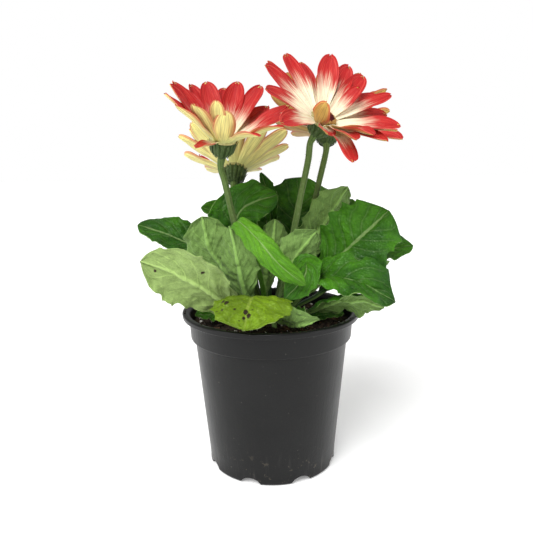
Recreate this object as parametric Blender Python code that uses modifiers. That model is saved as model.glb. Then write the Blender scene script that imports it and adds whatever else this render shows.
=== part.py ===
"""A gerbera in a black nursery pot, built as the real plant is.

A thin plastic pot with drain notches holds the soil. Every leaf and every flower
stalk stands in a hole of its own in the heaped middle of the soil. Each stalk carries a green bract
cup, a head of ray petals and a disc of small florets.
Row frame: +Z up, +Y away from the viewer, origin under the middle of the pot.
"""

import math
import random

import bmesh
import bpy
from mathutils import Matrix, Vector, noise

MM = 0.001
FIT_GAP = 0.4  # mm left between pieces that touch

# Pot, in mm
POT_HEIGHT = 117.0
RIM_RADIUS = 65.0
COLLAR_RADIUS = 60.0
COLLAR_FOOT_Z = 97.5
WALL_TOP_RADIUS = 56.2
BASE_RADIUS = 46.5
POT_WALL = 1.2
POT_STEPS = 28
DRAIN_NOTCHES = 8
DRAIN_RADIUS = 9.0
DRAIN_RISE = 5.0
FIRST_DRAIN = 250.0  # degrees round the pot

# Soil, in mm
SOIL_TOP = 108.0
SOIL_FLOOR = 3.8
HOLE_DEPTH = 10.0
HOLE_FLOOR_GAP = 0.4

# Leaves, in mm
BLADE_THICK = 0.7
RIB_THICK = 2.2
STALK_WIDTH = 4.0
STALK_THICK = 3.0
STALK_STATIONS = 2
BLADE_STATIONS = 7

# Flowers, in mm
HEAD_RADIUS = 9.5
HEAD_THICK = 2.4
ROOT_RADIUS = 7.8
PETAL_THICK = 0.7
DISC_RADIUS = 7.0
CUP_DEPTH = 11.0
SCAPE_RADIUS = 2.3
BRACTS = 8

COLOURS = {
    "pot": ((0.012, 0.013, 0.014), 0.42),
    "soil": ((0.035, 0.022, 0.014), 0.95),
    "leaf": ((0.07, 0.22, 0.03), 0.45),
    "young_leaf": ((0.22, 0.42, 0.03), 0.5),
    "scape": ((0.13, 0.22, 0.07), 0.7),
    "bracts": ((0.05, 0.11, 0.03), 0.7),
    "petals": ((0.72, 0.06, 0.05), 0.5),
    "florets": ((0.25, 0.04, 0.03), 0.7),
}

# A leaf: where its stalk stands on the crown (degrees round, mm out), the middle line of
# the leaf above the soil, the share of it that is bare stalk, the blade's half width, the
# way its upper side faces at the blade's foot and tip, how far each half folds up and
# rolls over at its edge (left, right, degrees), its lobes and its edge waves (mm).
LEAVES = {
    "leaf_left_back": dict(
        stands=(168, 15), line=((-22, 7, 128), (-48, 12, 156), (-76, 16, 170), (-99, 18, 178)),
        bare=0.30, half=19, up=((0.1, -0.5, 0.8), (0.15, -0.75, 0.7)), fold=(18, 12), roll=(8, -10),
        lobes=(3, 0.16), wave=1.6),
    "leaf_left_low": dict(
        stands=(202, 20), line=((-25, -22, 121), (-44, -38, 140), (-65, -47, 155), (-84, -48, 163)),
        bare=0.22, half=23, up=((0.1, 0.75, 0.6), (0.2, 0.95, 0.15)), fold=(4, 8), roll=(-6, -24),
        lobes=(3, 0.10), wave=1.0),
    "leaf_left_mid": dict(
        stands=(193, 11), line=((-20, -9, 128), (-31, -15, 148), (-42, -17, 164), (-47, -14, 187)),
        bare=0.34, half=21, up=((0.1, 0.9, 0.3), (0.1, 0.95, 0.1)), fold=(6, 8), roll=(4, 6),
        lobes=(2, 0.22), wave=1.8),
    "leaf_front_left": dict(
        stands=(238, 15), line=((-15, -24, 126), (-20, -33, 147), (-23, -35, 165), (-27, -29, 182)),
        bare=0.34, half=14, up=((0.2, 0.9, 0.3), (0.2, 0.9, 0.2)), fold=(4, 6), roll=(4, 6),
        lobes=(2, 0.12), wave=1.2),
    "leaf_front_rolled": dict(
        stands=(262, 9.5), line=((-12, -22, 168), (-22, -34, 186), (-10, -50, 178), (6, -57, 160), (22, -58, 147)),
        bare=0.42, half=10, up=((-0.3, -0.5, 0.8), (-0.5, -0.75, 0.3)), fold=(-14, -6), roll=(-30, -10),
        lobes=(3, 0.12), wave=1.0),
    "leaf_front_mid": dict(
        stands=(304, 10), line=((8, -14, 132), (13, -22, 150), (20, -25, 163), (32, -22, 177)),
        bare=0.42, half=16, up=((0.0, 0.9, 0.3), (-0.2, 0.9, 0.2)), fold=(8, 8), roll=(5, 10),
        lobes=(2, 0.14), wave=1.6),
    "leaf_front_right": dict(
        stands=(292, 16), line=((13, -26, 136), (23, -36, 156), (22, -45, 150), (9, -53, 137)),
        bare=0.42, half=11, up=((0.1, -0.3, 0.8), (0.3, -0.95, 0.1)), fold=(8, 14), roll=(10, -8),
        lobes=(3, 0.16), wave=1.2),
    "leaf_yellowing": dict(
        stands=(252, 21.5), line=((-11, -34, 126), (-12, -48, 137), (-15, -60, 133), (-17, -71, 122)),
        bare=0.36, half=27, up=((0.05, 0.15, 0.9), (0.0, -0.9, 0.35)), fold=(8, -6), roll=(-9, -9),
        lobes=(2, 0.12), wave=1.6),
    "leaf_small_front": dict(
        stands=(278, 22), line=((8, -35, 116), (14, -46, 117), (20, -54, 119), (31, -54, 124)),
        bare=0.26, half=14.5, up=((-0.2, 0.5, 0.9), (-0.5, 0.7, 0.6)), fold=(34, 40), roll=(20, 20),
        lobes=(1, 0.08), wave=1.0),
    "leaf_right_folded": dict(
        stands=(322, 15), line=((24, -22, 132), (40, -35, 146), (60, -43, 144), (82, -48, 133)),
        bare=0.30, half=21, up=((-0.22, 0.14, 0.96), (0.15, -0.2, 0.95)), fold=(58, 4), roll=(0, -12),
        lobes=(3, 0.16), wave=2.0),
    "leaf_right_low": dict(
        stands=(318, 21.5), line=((26, -22, 119), (43, -32, 129), (60, -41, 132), (75, -46, 129)),
        bare=0.30, half=15.5, up=((0.0, 0.55, 0.8), (0.2, 0.8, 0.55)), fold=(0, 0), roll=(-10, -28),
        lobes=(3, 0.14), wave=1.2),
    "leaf_right_big": dict(
        stands=(352, 10), line=((28, -4, 136), (49, -8, 156), (68, -11, 174), (84, -8, 189)),
        bare=0.42, half=29, up=((-0.3, -0.75, 0.6), (-0.25, -0.85, 0.45)), fold=(8, 6), roll=(10, -16),
        lobes=(3, 0.20), wave=2.4),
    "leaf_right_back": dict(
        stands=(8, 15.5), line=((28, 8, 128), (54, 13, 146), (82, 16, 155), (108, 16, 160)),
        bare=0.30, half=19, up=((-0.1, -0.5, 0.9), (-0.1, -0.5, 0.9)), fold=(14, 14), roll=(6, -6),
        lobes=(3, 0.16), wave=1.8),
    "leaf_right_upper": dict(
        stands=(28, 10), line=((18, 10, 140), (33, 13, 164), (45, 15, 184), (58, 16, 204)),
        bare=0.38, half=19, up=((-0.2, 0.9, 0.3), (-0.3, 0.9, 0.3)), fold=(12, 6), roll=(6, 6),
        lobes=(2, 0.16), wave=1.6),
    "leaf_back_tall": dict(
        stands=(76, 16), line=((10, 27, 140), (18, 39, 168), (25, 47, 192), (28, 55, 210)),
        bare=0.34, half=34, up=((-0.1, -0.9, 0.3), (0.0, -0.7, 0.7)), fold=(8, 10), roll=(10, 16),
        lobes=(3, 0.16), wave=2.4),
    "leaf_back_right": dict(
        stands=(46, 16.5), line=((24, 28, 132), (44, 38, 158), (57, 46, 178), (67, 54, 192)),
        bare=0.38, half=19, up=((-0.4, -0.8, 0.4), (-0.3, -0.7, 0.7)), fold=(10, 10), roll=(10, 10),
        lobes=(3, 0.16), wave=1.5),
    "leaf_upper_left": dict(
        stands=(140, 10), line=((-16, 12, 146), (-26, 8, 171), (-19, 6, 190), (6, 8, 200)),
        bare=0.42, half=20, up=((0.2, -0.6, 0.7), (0.0, -0.75, 0.6)), fold=(8, 8), roll=(8, -6),
        lobes=(2, 0.12), wave=1.6),
    "leaf_upper_left_back": dict(
        stands=(148, 16.5), line=((-17, 16, 138), (-25, 20, 166), (-35, 19, 184), (-50, 13, 191)),
        bare=0.38, half=15, up=((0.3, -0.6, 0.7), (0.2, -0.7, 0.7)), fold=(10, 10), roll=(8, 8),
        lobes=(3, 0.16), wave=1.8),
    "leaf_young_tall": dict(
        stands=(98, 10), line=((-1, 16, 150), (1, 21, 178), (-1, 24, 200), (-6, 25, 215)),
        bare=0.55, half=7, up=((0.2, -0.9, 0.3), (0.3, -0.9, 0.2)), fold=(24, 24), roll=(10, 10),
        lobes=(1, 0.05), wave=0.6),
    "leaf_inner": dict(
        stands=(222, 9.5), line=((-4, -6, 128), (-3, -4, 146), (2, -1, 166), (4, 4, 182)),
        bare=0.36, half=15, up=((0.1, 0.7, 0.4), (0.1, 0.8, 0.3)), fold=(16, 16), roll=(16, 10),
        lobes=(2, 0.12), wave=1.4),
    "leaf_sunk_left": dict(
        stands=(176, 21.5), line=((-30, -6, 112), (-38, -10, 114.5), (-46, -13, 116), (-54, -16, 117)),
        bare=0.34, half=9, up=((0.3, 0.05, 0.95), (0.2, -0.5, 0.9)), fold=(14, 10), roll=(0, 0),
        lobes=(2, 0.08), wave=0.6),
    "leaf_sunk_right": dict(
        stands=(340, 21.5), line=((28, -11, 112), (36, -13, 114.5), (44, -15, 116), (52, -17, 117)),
        bare=0.34, half=7, up=((-0.1, -0.3, 0.95), (-0.1, -0.5, 0.9)), fold=(14, 10), roll=(0, 0),
        lobes=(2, 0.08), wave=0.6),
    "leaf_behind_left": dict(
        stands=(128, 21.5), line=((-22, 30, 130), (-42, 46, 150), (-60, 58, 156), (-76, 68, 150)),
        bare=0.32, half=21, up=((0.1, -0.1, 0.95), (-0.4, 0.4, 0.85)), fold=(14, 14), roll=(-8, -8),
        lobes=(3, 0.16), wave=1.8),
    "leaf_behind": dict(
        stands=(92, 21.5), line=((-2, 36, 132), (-4, 56, 152), (-5, 74, 158), (-6, 92, 150)),
        bare=0.32, half=22, up=((0.0, -0.1, 0.95), (0.0, 0.5, 0.85)), fold=(12, 14), roll=(-8, -8),
        lobes=(3, 0.16), wave=1.8),
    "leaf_behind_right": dict(
        stands=(30, 22), line=((36, 14, 122), (60, 30, 138), (78, 42, 144), (94, 52, 138)),
        bare=0.32, half=20, up=((-0.1, -0.1, 0.95), (0.4, 0.4, 0.85)), fold=(14, 12), roll=(-8, -8),
        lobes=(3, 0.16), wave=1.8),
}

# A flower: where its stalk stands, the stalk's line, the middle of its head, the way the
# head faces, how far its petals lift from the head's plane, their length and half width.
# Petals that are placed one by one: degrees round the head, lift at mid length, length,
# half width, and how far they curl inwards (degrees, from root to tip).
FLOWERS = {
    "front_right": dict(
        stands=(350, 3.0), line=((8, -1, 135), (16, -1, 168), (22, 0, 197), (28, 1, 225)),
        head=(37, -12, 251), faces=(0.40, -0.52, 0.75), lift=24, length=48, half=7.4, seed=5,
        placed=(
            (93, 31, 47, 8.2, -6), (131, 20, 47, 7.6, -4), (145, 12, 48, 5.6, 8), (112, 14, 45, 6.4, -8),
            (74, 28, 47, 7.4, -6), (59, 27, 47, 7.2, -8), (42, 18, 47, 7.0, -6), (30, 28, 49, 5.0, -10),
            (26, 12, 47, 6.6, -8), (316, 36, 50, 7.4, -14), (305, 30, 49, 6.6, -14), (292, 34, 47, 6.4, -16),
            (281, 28, 44, 6.0, -18), (47, 50, 30, 5.0, 4), (285, 10, 45, 6.6, -34), (224, 10, 43, 7.4, -24),
            (242, 56, 29, 6.4, 60), (264, 20, 25, 6.0, -20), (166, 20, 46, 7.0, -8), (196, 18, 45, 7.2, -10),
            (336, 24, 48, 7.2, -12), (2, 20, 47, 7.2, -8),
        )),
    "behind_right": dict(
        stands=(66, 10.0), line=((16, 19, 140), (31, 23, 180), (39, 27, 212)),
        head=(46, 49, 245), faces=(0.10, 0.60, 0.79), lift=30, length=46, half=7.0, seed=11),
    "front_left": dict(
        stands=(180, 5.0), line=((-14, -4, 140), (-22, -7, 168), (-27, -9, 191), (-31, -12, 212)),
        head=(-31, -15, 239), faces=(0.12, -0.28, 0.92), lift=44, length=45, half=7.2, seed=3,
        placed=(
            (229, 38, 46, 5.8, -8), (140, 36, 45, 6.4, -6), (128, 36, 45, 6.6, -6), (112, 38, 46, 7.2, -4),
            (95, 34, 45, 6.6, -6), (82, 43, 46, 7.4, -4), (57, 43, 46, 7.0, -10), (48, 27, 40, 6.0, -10),
            (33, 20, 45, 6.0, -14), (323, 28, 45, 6.4, -16), (273, 60, 30, 7.4, 64), (259, 60, 36, 5.8, 16),
            (239, 46, 41, 5.8, -6), (249, 8, 34, 4.4, -10), (300, 24, 41, 6.4, -22), (158, 44, 45, 6.8, -8),
            (178, 48, 44, 7.0, -6), (202, 42, 45, 6.8, -10), (350, 34, 44, 6.8, -10), (12, 36, 44, 6.8, -8),
        )),
    "behind_left": dict(
        stands=(120, 16.0), line=((-13, 22, 140), (-18, 29, 165), (-24, 29, 190)),
        head=(-26, 38, 217), faces=(0.05, 0.60, 0.80), lift=29, length=42, half=7.0, seed=8),
}
OUTER_PETALS = 11
INNER_PETALS = 6


def clear_scene():
    """Remove what the startup file holds."""
    for obj in list(bpy.data.objects):
        bpy.data.objects.remove(obj, do_unlink=True)


def new_collection(name):
    """A collection under the scene's own."""
    made = bpy.data.collections.new(name)
    bpy.context.scene.collection.children.link(made)
    return made


def material(name):
    """A Principled material with a colour and roughness from COLOURS."""
    found = bpy.data.materials.get(name)
    if found:
        return found
    colour, rough = COLOURS[name]
    made = bpy.data.materials.new(name)
    made.use_nodes = True
    shader = made.node_tree.nodes["Principled BSDF"]
    shader.inputs["Base Color"].default_value = (*colour, 1.0)
    shader.inputs["Roughness"].default_value = rough
    shader.inputs["Metallic"].default_value = 0.0
    made.diffuse_color = (*colour, 1.0)
    return made


def object_from(bm, name, collection, finish=None):
    """Write a bmesh in millimetres as an object in metres."""
    bmesh.ops.scale(bm, vec=(MM, MM, MM), verts=bm.verts)
    mesh = bpy.data.meshes.new(name)
    bm.to_mesh(mesh)
    bm.free()
    obj = bpy.data.objects.new(name, mesh)
    collection.objects.link(obj)
    if finish:
        mesh.materials.append(material(finish))
    return obj


def apply_modifiers(obj):
    """Replace an object's mesh by its evaluated one and drop its modifiers."""
    graph = bpy.context.evaluated_depsgraph_get()
    mesh = bpy.data.meshes.new_from_object(obj.evaluated_get(graph))
    mesh.name = obj.name
    obj.modifiers.clear()
    obj.data = mesh


def join_collection(obj, collection, solver="EXACT"):
    """Unite an object with all the solids of a collection, which are then removed."""
    union = obj.modifiers.new("union", "BOOLEAN")
    union.operation = "UNION"
    union.operand_type = "COLLECTION"
    union.collection = collection
    union.solver = solver
    bpy.context.view_layer.update()
    apply_modifiers(obj)
    for member in list(collection.objects):
        bpy.data.objects.remove(member, do_unlink=True)


def polar(degrees, radius, height):
    """A point round the pot's axis."""
    turn = math.radians(degrees)
    return Vector((radius * math.cos(turn), radius * math.sin(turn), height))


def curve_point(points, share):
    """A point on the smooth curve through the points, share 0 to 1 by point count."""
    spans = len(points) - 1
    at = min(max(share, 0.0), 1.0) * spans
    k = min(int(at), spans - 1)
    t = at - k
    a, b = points[k], points[k + 1]
    span = (b - a).length
    leave = (b - (points[k - 1] if k else a)).normalized() * span
    reach = ((points[k + 2] if k + 2 <= spans else b) - a).normalized() * span
    return (
        a * (2 * t ** 3 - 3 * t ** 2 + 1)
        + leave * (t ** 3 - 2 * t ** 2 + t)
        + b * (3 * t ** 2 - 2 * t ** 3)
        + reach * (t ** 3 - t ** 2)
    )


class Path:
    """A smooth curve through points, read by its share of length."""

    SAMPLES = 96

    def __init__(self, points):
        self.dots = [curve_point(points, k / self.SAMPLES) for k in range(self.SAMPLES + 1)]
        self.run = [0.0]
        for a, b in zip(self.dots, self.dots[1:]):
            self.run.append(self.run[-1] + (b - a).length)
        self.length = self.run[-1]

    def at(self, share):
        """The point and direction at this share of the length."""
        want = min(max(share, 0.0), 1.0) * self.length
        k = 0
        while k < self.SAMPLES - 1 and self.run[k + 1] < want:
            k += 1
        step = self.run[k + 1] - self.run[k]
        part = (want - self.run[k]) / step if step else 0.0
        ahead = self.dots[min(k + 2, self.SAMPLES)] - self.dots[max(k - 1, 0)]
        return self.dots[k].lerp(self.dots[k + 1], part), ahead.normalized()


def skin(bm, rings):
    """Join rings of points into a closed solid whose two faces split alike.

    Each ring holds the upper points from edge to edge and then the lower ones in the
    same order, so a quad and the one under it take the same diagonal."""
    verts = [([bm.verts.new(p) for p in upper], [bm.verts.new(p) for p in lower]) for upper, lower in rings]
    across = len(verts[0][0])
    for (up_a, low_a), (up_b, low_b) in zip(verts, verts[1:]):
        for j in range(across - 1):
            bm.faces.new((up_a[j], up_a[j + 1], up_b[j + 1]))
            bm.faces.new((up_a[j], up_b[j + 1], up_b[j]))
            bm.faces.new((low_a[j], low_b[j + 1], low_a[j + 1]))
            bm.faces.new((low_a[j], low_b[j], low_b[j + 1]))
        for j, turned in ((0, False), (across - 1, True)):
            side = [up_a[j], up_b[j], low_b[j], low_a[j]]
            bm.faces.new(side[::-1] if turned else side)
    for (upper, lower), turned in ((verts[0], False), (verts[-1], True)):
        for j in range(across - 1):
            cap = [upper[j], lower[j], lower[j + 1], upper[j + 1]]
            bm.faces.new(cap[::-1] if turned else cap)
    bmesh.ops.triangulate(bm, faces=[f for f in bm.faces if len(f.verts) > 3])


def section(half, fold, roll, across):
    """One leaf section: for each point from left edge to right edge, its place across
    and above the rib, and the way its upper side faces, as (across, up, sine, cosine)."""
    dots = []
    steps = 6
    for j in range(across + 1):
        v = 2.0 * j / across - 1.0
        side = 0 if v < 0 else 1
        sign = -1.0 if v < 0 else 1.0
        x = n = 0.0
        reach = abs(v)
        for k in range(steps):
            mid = reach * (k + 0.5) / steps
            angle = math.radians(fold[side] + roll[side] * mid * mid * 3)
            x += math.cos(angle) * reach / steps
            n += math.sin(angle) * reach / steps
        angle = math.radians(fold[side] + roll[side] * reach * reach * 3) if v else 0.0
        dots.append((v, sign * x * half, n * half, -sign * math.sin(angle), math.cos(angle)))
    return dots


def blade_width(t, half, lobes, side):
    """The blade's half width at share t from its foot to its tip, with its lobes."""
    count, depth = lobes
    outline = max(math.sin(math.pi * t ** 1.35), 0.0) ** 0.62
    notch = 0.5 - 0.5 * math.cos(2 * math.pi * (count * t + 0.25 * side))
    return half * outline * (1.0 - depth * notch * (1.25 - t))


def standing(place):
    """The part of a stalk in its hole and just above it, which is upright."""
    return [polar(*place, SOIL_TOP + up) for up in (-HOLE_DEPTH, -HOLE_DEPTH / 2, 0.0, 5.0)]


def leaf_rings(leaf, blade_stations, across):
    """The sections of a leaf, from the stalk's foot in the soil to the blade's tip."""
    path = Path(standing(leaf["stands"]) + [Vector(p) for p in leaf["line"]])
    bare = leaf["bare"]
    rise = (HOLE_DEPTH + 5.0) / path.length
    shares = [0.0] + [rise + (bare - rise) * k / STALK_STATIONS for k in range(STALK_STATIONS)]
    shares += [bare + (1 - bare) * (k / blade_stations) ** 0.92 for k in range(blade_stations + 1)]
    first, last = (Vector(u) for u in leaf["up"])
    rings = []
    for s in shares:
        middle, ahead = path.at(s)
        t = max((s - bare) / (1 - bare), 0.0)
        want = first.lerp(last, t)
        up = (want - ahead * want.dot(ahead)).normalized()
        right = ahead.cross(up)
        upper, lower = [], []
        fade = min(t * 5.0, 1.0)
        bend = min(fade, (1 - t) * 4.0)
        fold = [a * bend for a in leaf["fold"]]
        roll = [a * bend for a in leaf["roll"]]
        for v, x, n, sine, cosine in section(1.0, fold, roll, across):
            side = 0 if v < 0 else 1
            wide = max(blade_width(t, leaf["half"], leaf["lobes"], side), STALK_WIDTH / 2 * (1 - 0.75 * t))
            wave = leaf["wave"] * v * v * math.sin(2 * math.pi * (2.6 * t + 0.37 * side)) * fade
            rib = STALK_THICK + (RIB_THICK - STALK_THICK) * fade
            thick = BLADE_THICK + (rib * (1 - 0.6 * t) - BLADE_THICK) * max(1 - abs(v) * (1 + 5 * fade), 0)
            place = middle + right * (x * wide) + up * (n * wide + wave + (rib / 2 - 0.4) * (1 - fade))
            facing = right * sine + up * cosine
            upper.append(place + facing * (BLADE_THICK / 2))
            lower.append(place - facing * (thick - BLADE_THICK / 2))
        rings.append((upper, lower))
    return rings


def make_leaf(name, leaf, collection):
    """One leaf with its stalk, as one solid."""
    rolled = max(abs(a) for a in leaf["fold"] + leaf["roll"]) > 29
    across = 6 if rolled else 4
    bm = bmesh.new()
    skin(bm, leaf_rings(leaf, BLADE_STATIONS, across))
    finish = "young_leaf" if name in ("leaf_yellowing", "leaf_young_tall") else "leaf"
    return object_from(bm, name, collection, finish)


def turned(profile, name, collection, finish, steps):
    """A solid turned about Z from a profile of (radius, height) points, in mm."""
    bm = bmesh.new()
    dots = [bm.verts.new((r, 0, z)) for r, z in profile]
    for a, b in zip(dots, dots[1:]):
        bm.edges.new((a, b))
    obj = object_from(bm, name, collection, finish)
    screw = obj.modifiers.new("turn", "SCREW")
    screw.steps = screw.render_steps = steps
    screw.use_merge_vertices = True
    screw.merge_threshold = 0.00002
    screw.use_normal_calculate = True
    bpy.context.view_layer.update()
    apply_modifiers(obj)
    return obj


def make_pot(collection, cutters):
    """The pot: rolled lip, collar, tapering wall and a foot ring with drain notches."""
    r, h, c = RIM_RADIUS, POT_HEIGHT, COLLAR_RADIUS
    profile = [
        (0, 1.4), (30.6, 1.4), (31.8, 3.4), (44.6, 3.4), (BASE_RADIUS - 0.4, 7.0),
        (WALL_TOP_RADIUS - POT_WALL, COLLAR_FOOT_Z - 1.0),
        (c - 2.2, COLLAR_FOOT_Z + 1.4), (c - 1.0, h - 4.6), (c + 1.2, h - 0.4),
        (c + 2.6, h), (r - 0.6, h), (r, h - 1.2), (r - 0.4, h - 3.6),
        (c + 0.9, h - 4.2), (c + 0.2, h - 5.8), (c - 0.9, COLLAR_FOOT_Z),
        (WALL_TOP_RADIUS, COLLAR_FOOT_Z - 0.4), (BASE_RADIUS + 0.8, 5.0),
        (BASE_RADIUS - 1.0, 0), (42.4, 0), (41.6, 2.0), (32.0, 2.0), (30.6, 0), (0, 0),
    ]
    pot = turned(profile, "pot", collection, "pot", POT_STEPS)
    for k in range(DRAIN_NOTCHES):
        turn = math.radians(FIRST_DRAIN + 360.0 * k / DRAIN_NOTCHES)
        middle = Vector((math.cos(turn), math.sin(turn), 0)) * 45.0
        bm = bmesh.new()
        lie = Matrix.Rotation(turn, 4, "Z") @ Matrix.Rotation(math.pi / 2, 4, "Y")
        place = Matrix.Translation((middle.x, middle.y, DRAIN_RISE - DRAIN_RADIUS)) @ lie
        bmesh.ops.create_cone(bm, cap_ends=True, segments=12, radius1=DRAIN_RADIUS, radius2=DRAIN_RADIUS,
                              depth=11.0, matrix=place)
        cutter = object_from(bm, f"drain_cutter_{k}", cutters)
        cutter.hide_render = True
        cutter.display_type = "WIRE"
    cut = pot.modifiers.new("drains", "BOOLEAN")
    cut.operation = "DIFFERENCE"
    cut.operand_type = "COLLECTION"
    cut.collection = cutters
    return pot


def stalk_holes(collection):
    """Plain round cutters where every stalk stands, in a collection of their own."""
    places = [(leaf["stands"], STALK_WIDTH / 2) for leaf in LEAVES.values()]
    places += [(flower["stands"], SCAPE_RADIUS) for flower in FLOWERS.values()]
    for k, (stands, radius) in enumerate(places):
        low = SOIL_TOP - HOLE_DEPTH - HOLE_FLOOR_GAP
        bm = bmesh.new()
        middle = polar(*stands, low + 10.0)
        bmesh.ops.create_cone(bm, cap_ends=True, segments=6, radius1=radius + 1.2, radius2=radius + 1.2,
                              depth=20.0, matrix=Matrix.Translation(middle))
        cutter = object_from(bm, f"hole_cutter_{k}", collection)
        cutter.hide_render = True
        cutter.display_type = "WIRE"


def make_soil(collection, cutters):
    """The root ball: it fills the pot to just under the rim, and its top is rough."""
    c, z = COLLAR_RADIUS, COLLAR_FOOT_Z
    gap = FIT_GAP
    edge = c - 1.7 - gap
    top = [(edge * k / 3.0, SOIL_TOP) for k in range(4)]
    side = [
        (c - 2.6 - gap, z + 1.6), (WALL_TOP_RADIUS - POT_WALL - gap, z - 1.2),
        (BASE_RADIUS - 0.6 - gap, 7.4), (43.4, SOIL_FLOOR), (0, SOIL_FLOOR),
    ]
    soil = turned(top + side, "soil", collection, "soil", POT_STEPS)
    for vert in soil.data.vertices:
        reach = math.hypot(vert.co.x, vert.co.y) / MM
        if vert.co.z > (SOIL_TOP - 0.5) * MM:
            bump = noise.noise(Vector((vert.co.x, vert.co.y, 0.0)) * 90.0)
            vert.co.z += (1.6 * bump + 1.8 * max(1 - reach / 40.0, 0)) * MM
    stalk_holes(cutters)
    cut = soil.modifiers.new("holes", "BOOLEAN")
    cut.operation = "DIFFERENCE"
    cut.operand_type = "COLLECTION"
    cut.collection = cutters
    return soil


def head_frame(flower):
    """The head's own frame: Z the way it faces, X to the viewer's right, Y away."""
    up = Vector(flower["faces"]).normalized()
    right = (Vector((1, 0, 0)) - up * up.x).normalized()
    away = up.cross(right)
    turn = Matrix((right, away, up)).transposed().to_4x4()
    return Matrix.Translation(Vector(flower["head"])) @ turn


def petal_rings(lift, length, half, curl, dish, twist):
    """A ray petal in its own frame, X outward and Z up, from its root to its tip."""
    stations = (0.0, 0.42, 0.80, 1.0)
    widths = (0.42, 0.86, 1.0, 0.40)
    rings = []
    x = z = 0.0
    before = 0.0
    for t, w in zip(stations, widths):
        angle = math.radians(lift + curl * (t + before - 1.0) / 2)
        x += math.cos(angle) * (t - before) * length
        z += math.sin(angle) * (t - before) * length
        before = t
        angle = math.radians(lift + curl * (t - 0.5))
        roll = math.radians(twist * t)
        ahead = Vector((math.cos(angle), 0, math.sin(angle)))
        level = Vector((-math.sin(angle), 0, math.cos(angle)))
        side = Vector((0, -math.cos(roll), 0)) + level * math.sin(roll)
        up = side.cross(ahead)
        upper, lower = [], []
        for v in (-1.0, 0.0, 1.0):
            place = Vector((x, 0, z)) + side * (v * half * w) + up * (dish * half * (v * v - 0.5) * w)
            upper.append(place + up * PETAL_THICK / 2)
            lower.append(place - up * PETAL_THICK / 2)
        rings.append((upper, lower))
    return rings


def petal_set(flower):
    """Every ray petal as (degrees round, lift, length, half width, curl, dish, twist)."""
    draw = random.Random(flower["seed"])
    places = list(flower.get("placed", ()))
    if not places:
        for ring, count in enumerate((OUTER_PETALS, INNER_PETALS)):
            for k in range(count):
                turn = 360.0 * (k + 0.5 * ring) / count + draw.uniform(-6, 6)
                away = 10 * math.sin(math.radians(turn))
                lift = flower["lift"] + away + 10 * ring + draw.uniform(-6, 6)
                length = flower["length"] * (1.0 - 0.06 * ring) * draw.uniform(0.94, 1.04)
                half = flower["half"] * draw.uniform(0.86, 1.05)
                places.append((turn, lift, length, half, draw.uniform(-16, 6)))
    return [place + (draw.uniform(0.15, 0.4), draw.uniform(-12, 12)) for place in places]


def make_rays(name, flower, collection, workshop):
    """The head's ray petals, fused to the plate that they grow from."""
    frame = head_frame(flower)
    for k, (turn, lift, length, half, curl, dish, twist) in enumerate(petal_set(flower)):
        bm = bmesh.new()
        skin(bm, petal_rings(lift, length, half, curl, dish, twist))
        root = Matrix.Rotation(math.radians(turn), 4, "Z") @ Matrix.Translation((ROOT_RADIUS, 0, 0.15 * (k % 4)))
        bmesh.ops.transform(bm, matrix=frame @ root, verts=bm.verts)
        object_from(bm, f"{name}_petal_{k}", workshop)
    bm = bmesh.new()
    bmesh.ops.create_cone(bm, cap_ends=True, segments=14, radius1=HEAD_RADIUS - 0.6, radius2=HEAD_RADIUS,
                          depth=HEAD_THICK, matrix=frame)
    rays = object_from(bm, f"petals_{name}", collection, "petals")
    join_collection(rays, workshop)
    return rays


def make_disc(name, flower, collection):
    """The low dome of tiny florets in the middle of the head."""
    bm = bmesh.new()
    bmesh.ops.create_uvsphere(bm, u_segments=10, v_segments=6, radius=1.0)
    below = [v for v in bm.verts if v.co.z < -0.01]
    bmesh.ops.delete(bm, geom=below, context="VERTS")
    rim = [e for e in bm.edges if e.is_boundary]
    bmesh.ops.contextual_create(bm, geom=rim)
    for vert in bm.verts:
        turn = math.atan2(vert.co.y, vert.co.x)
        reach = math.hypot(vert.co.x, vert.co.y)
        ridge = 1.0 + 0.10 * math.cos(6 * turn) * (1 if reach > 0.6 else -1) * min(reach * 2, 1) * (vert.co.z > 0.01)
        vert.co = Vector((vert.co.x * DISC_RADIUS, vert.co.y * DISC_RADIUS, vert.co.z * 3.2 * ridge))
    lift = Matrix.Translation((0, 0, HEAD_THICK / 2 + FIT_GAP))
    bmesh.ops.transform(bm, matrix=head_frame(flower) @ lift, verts=bm.verts)
    bmesh.ops.recalc_face_normals(bm, faces=bm.faces)
    return object_from(bm, f"florets_{name}", collection, "florets")


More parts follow.
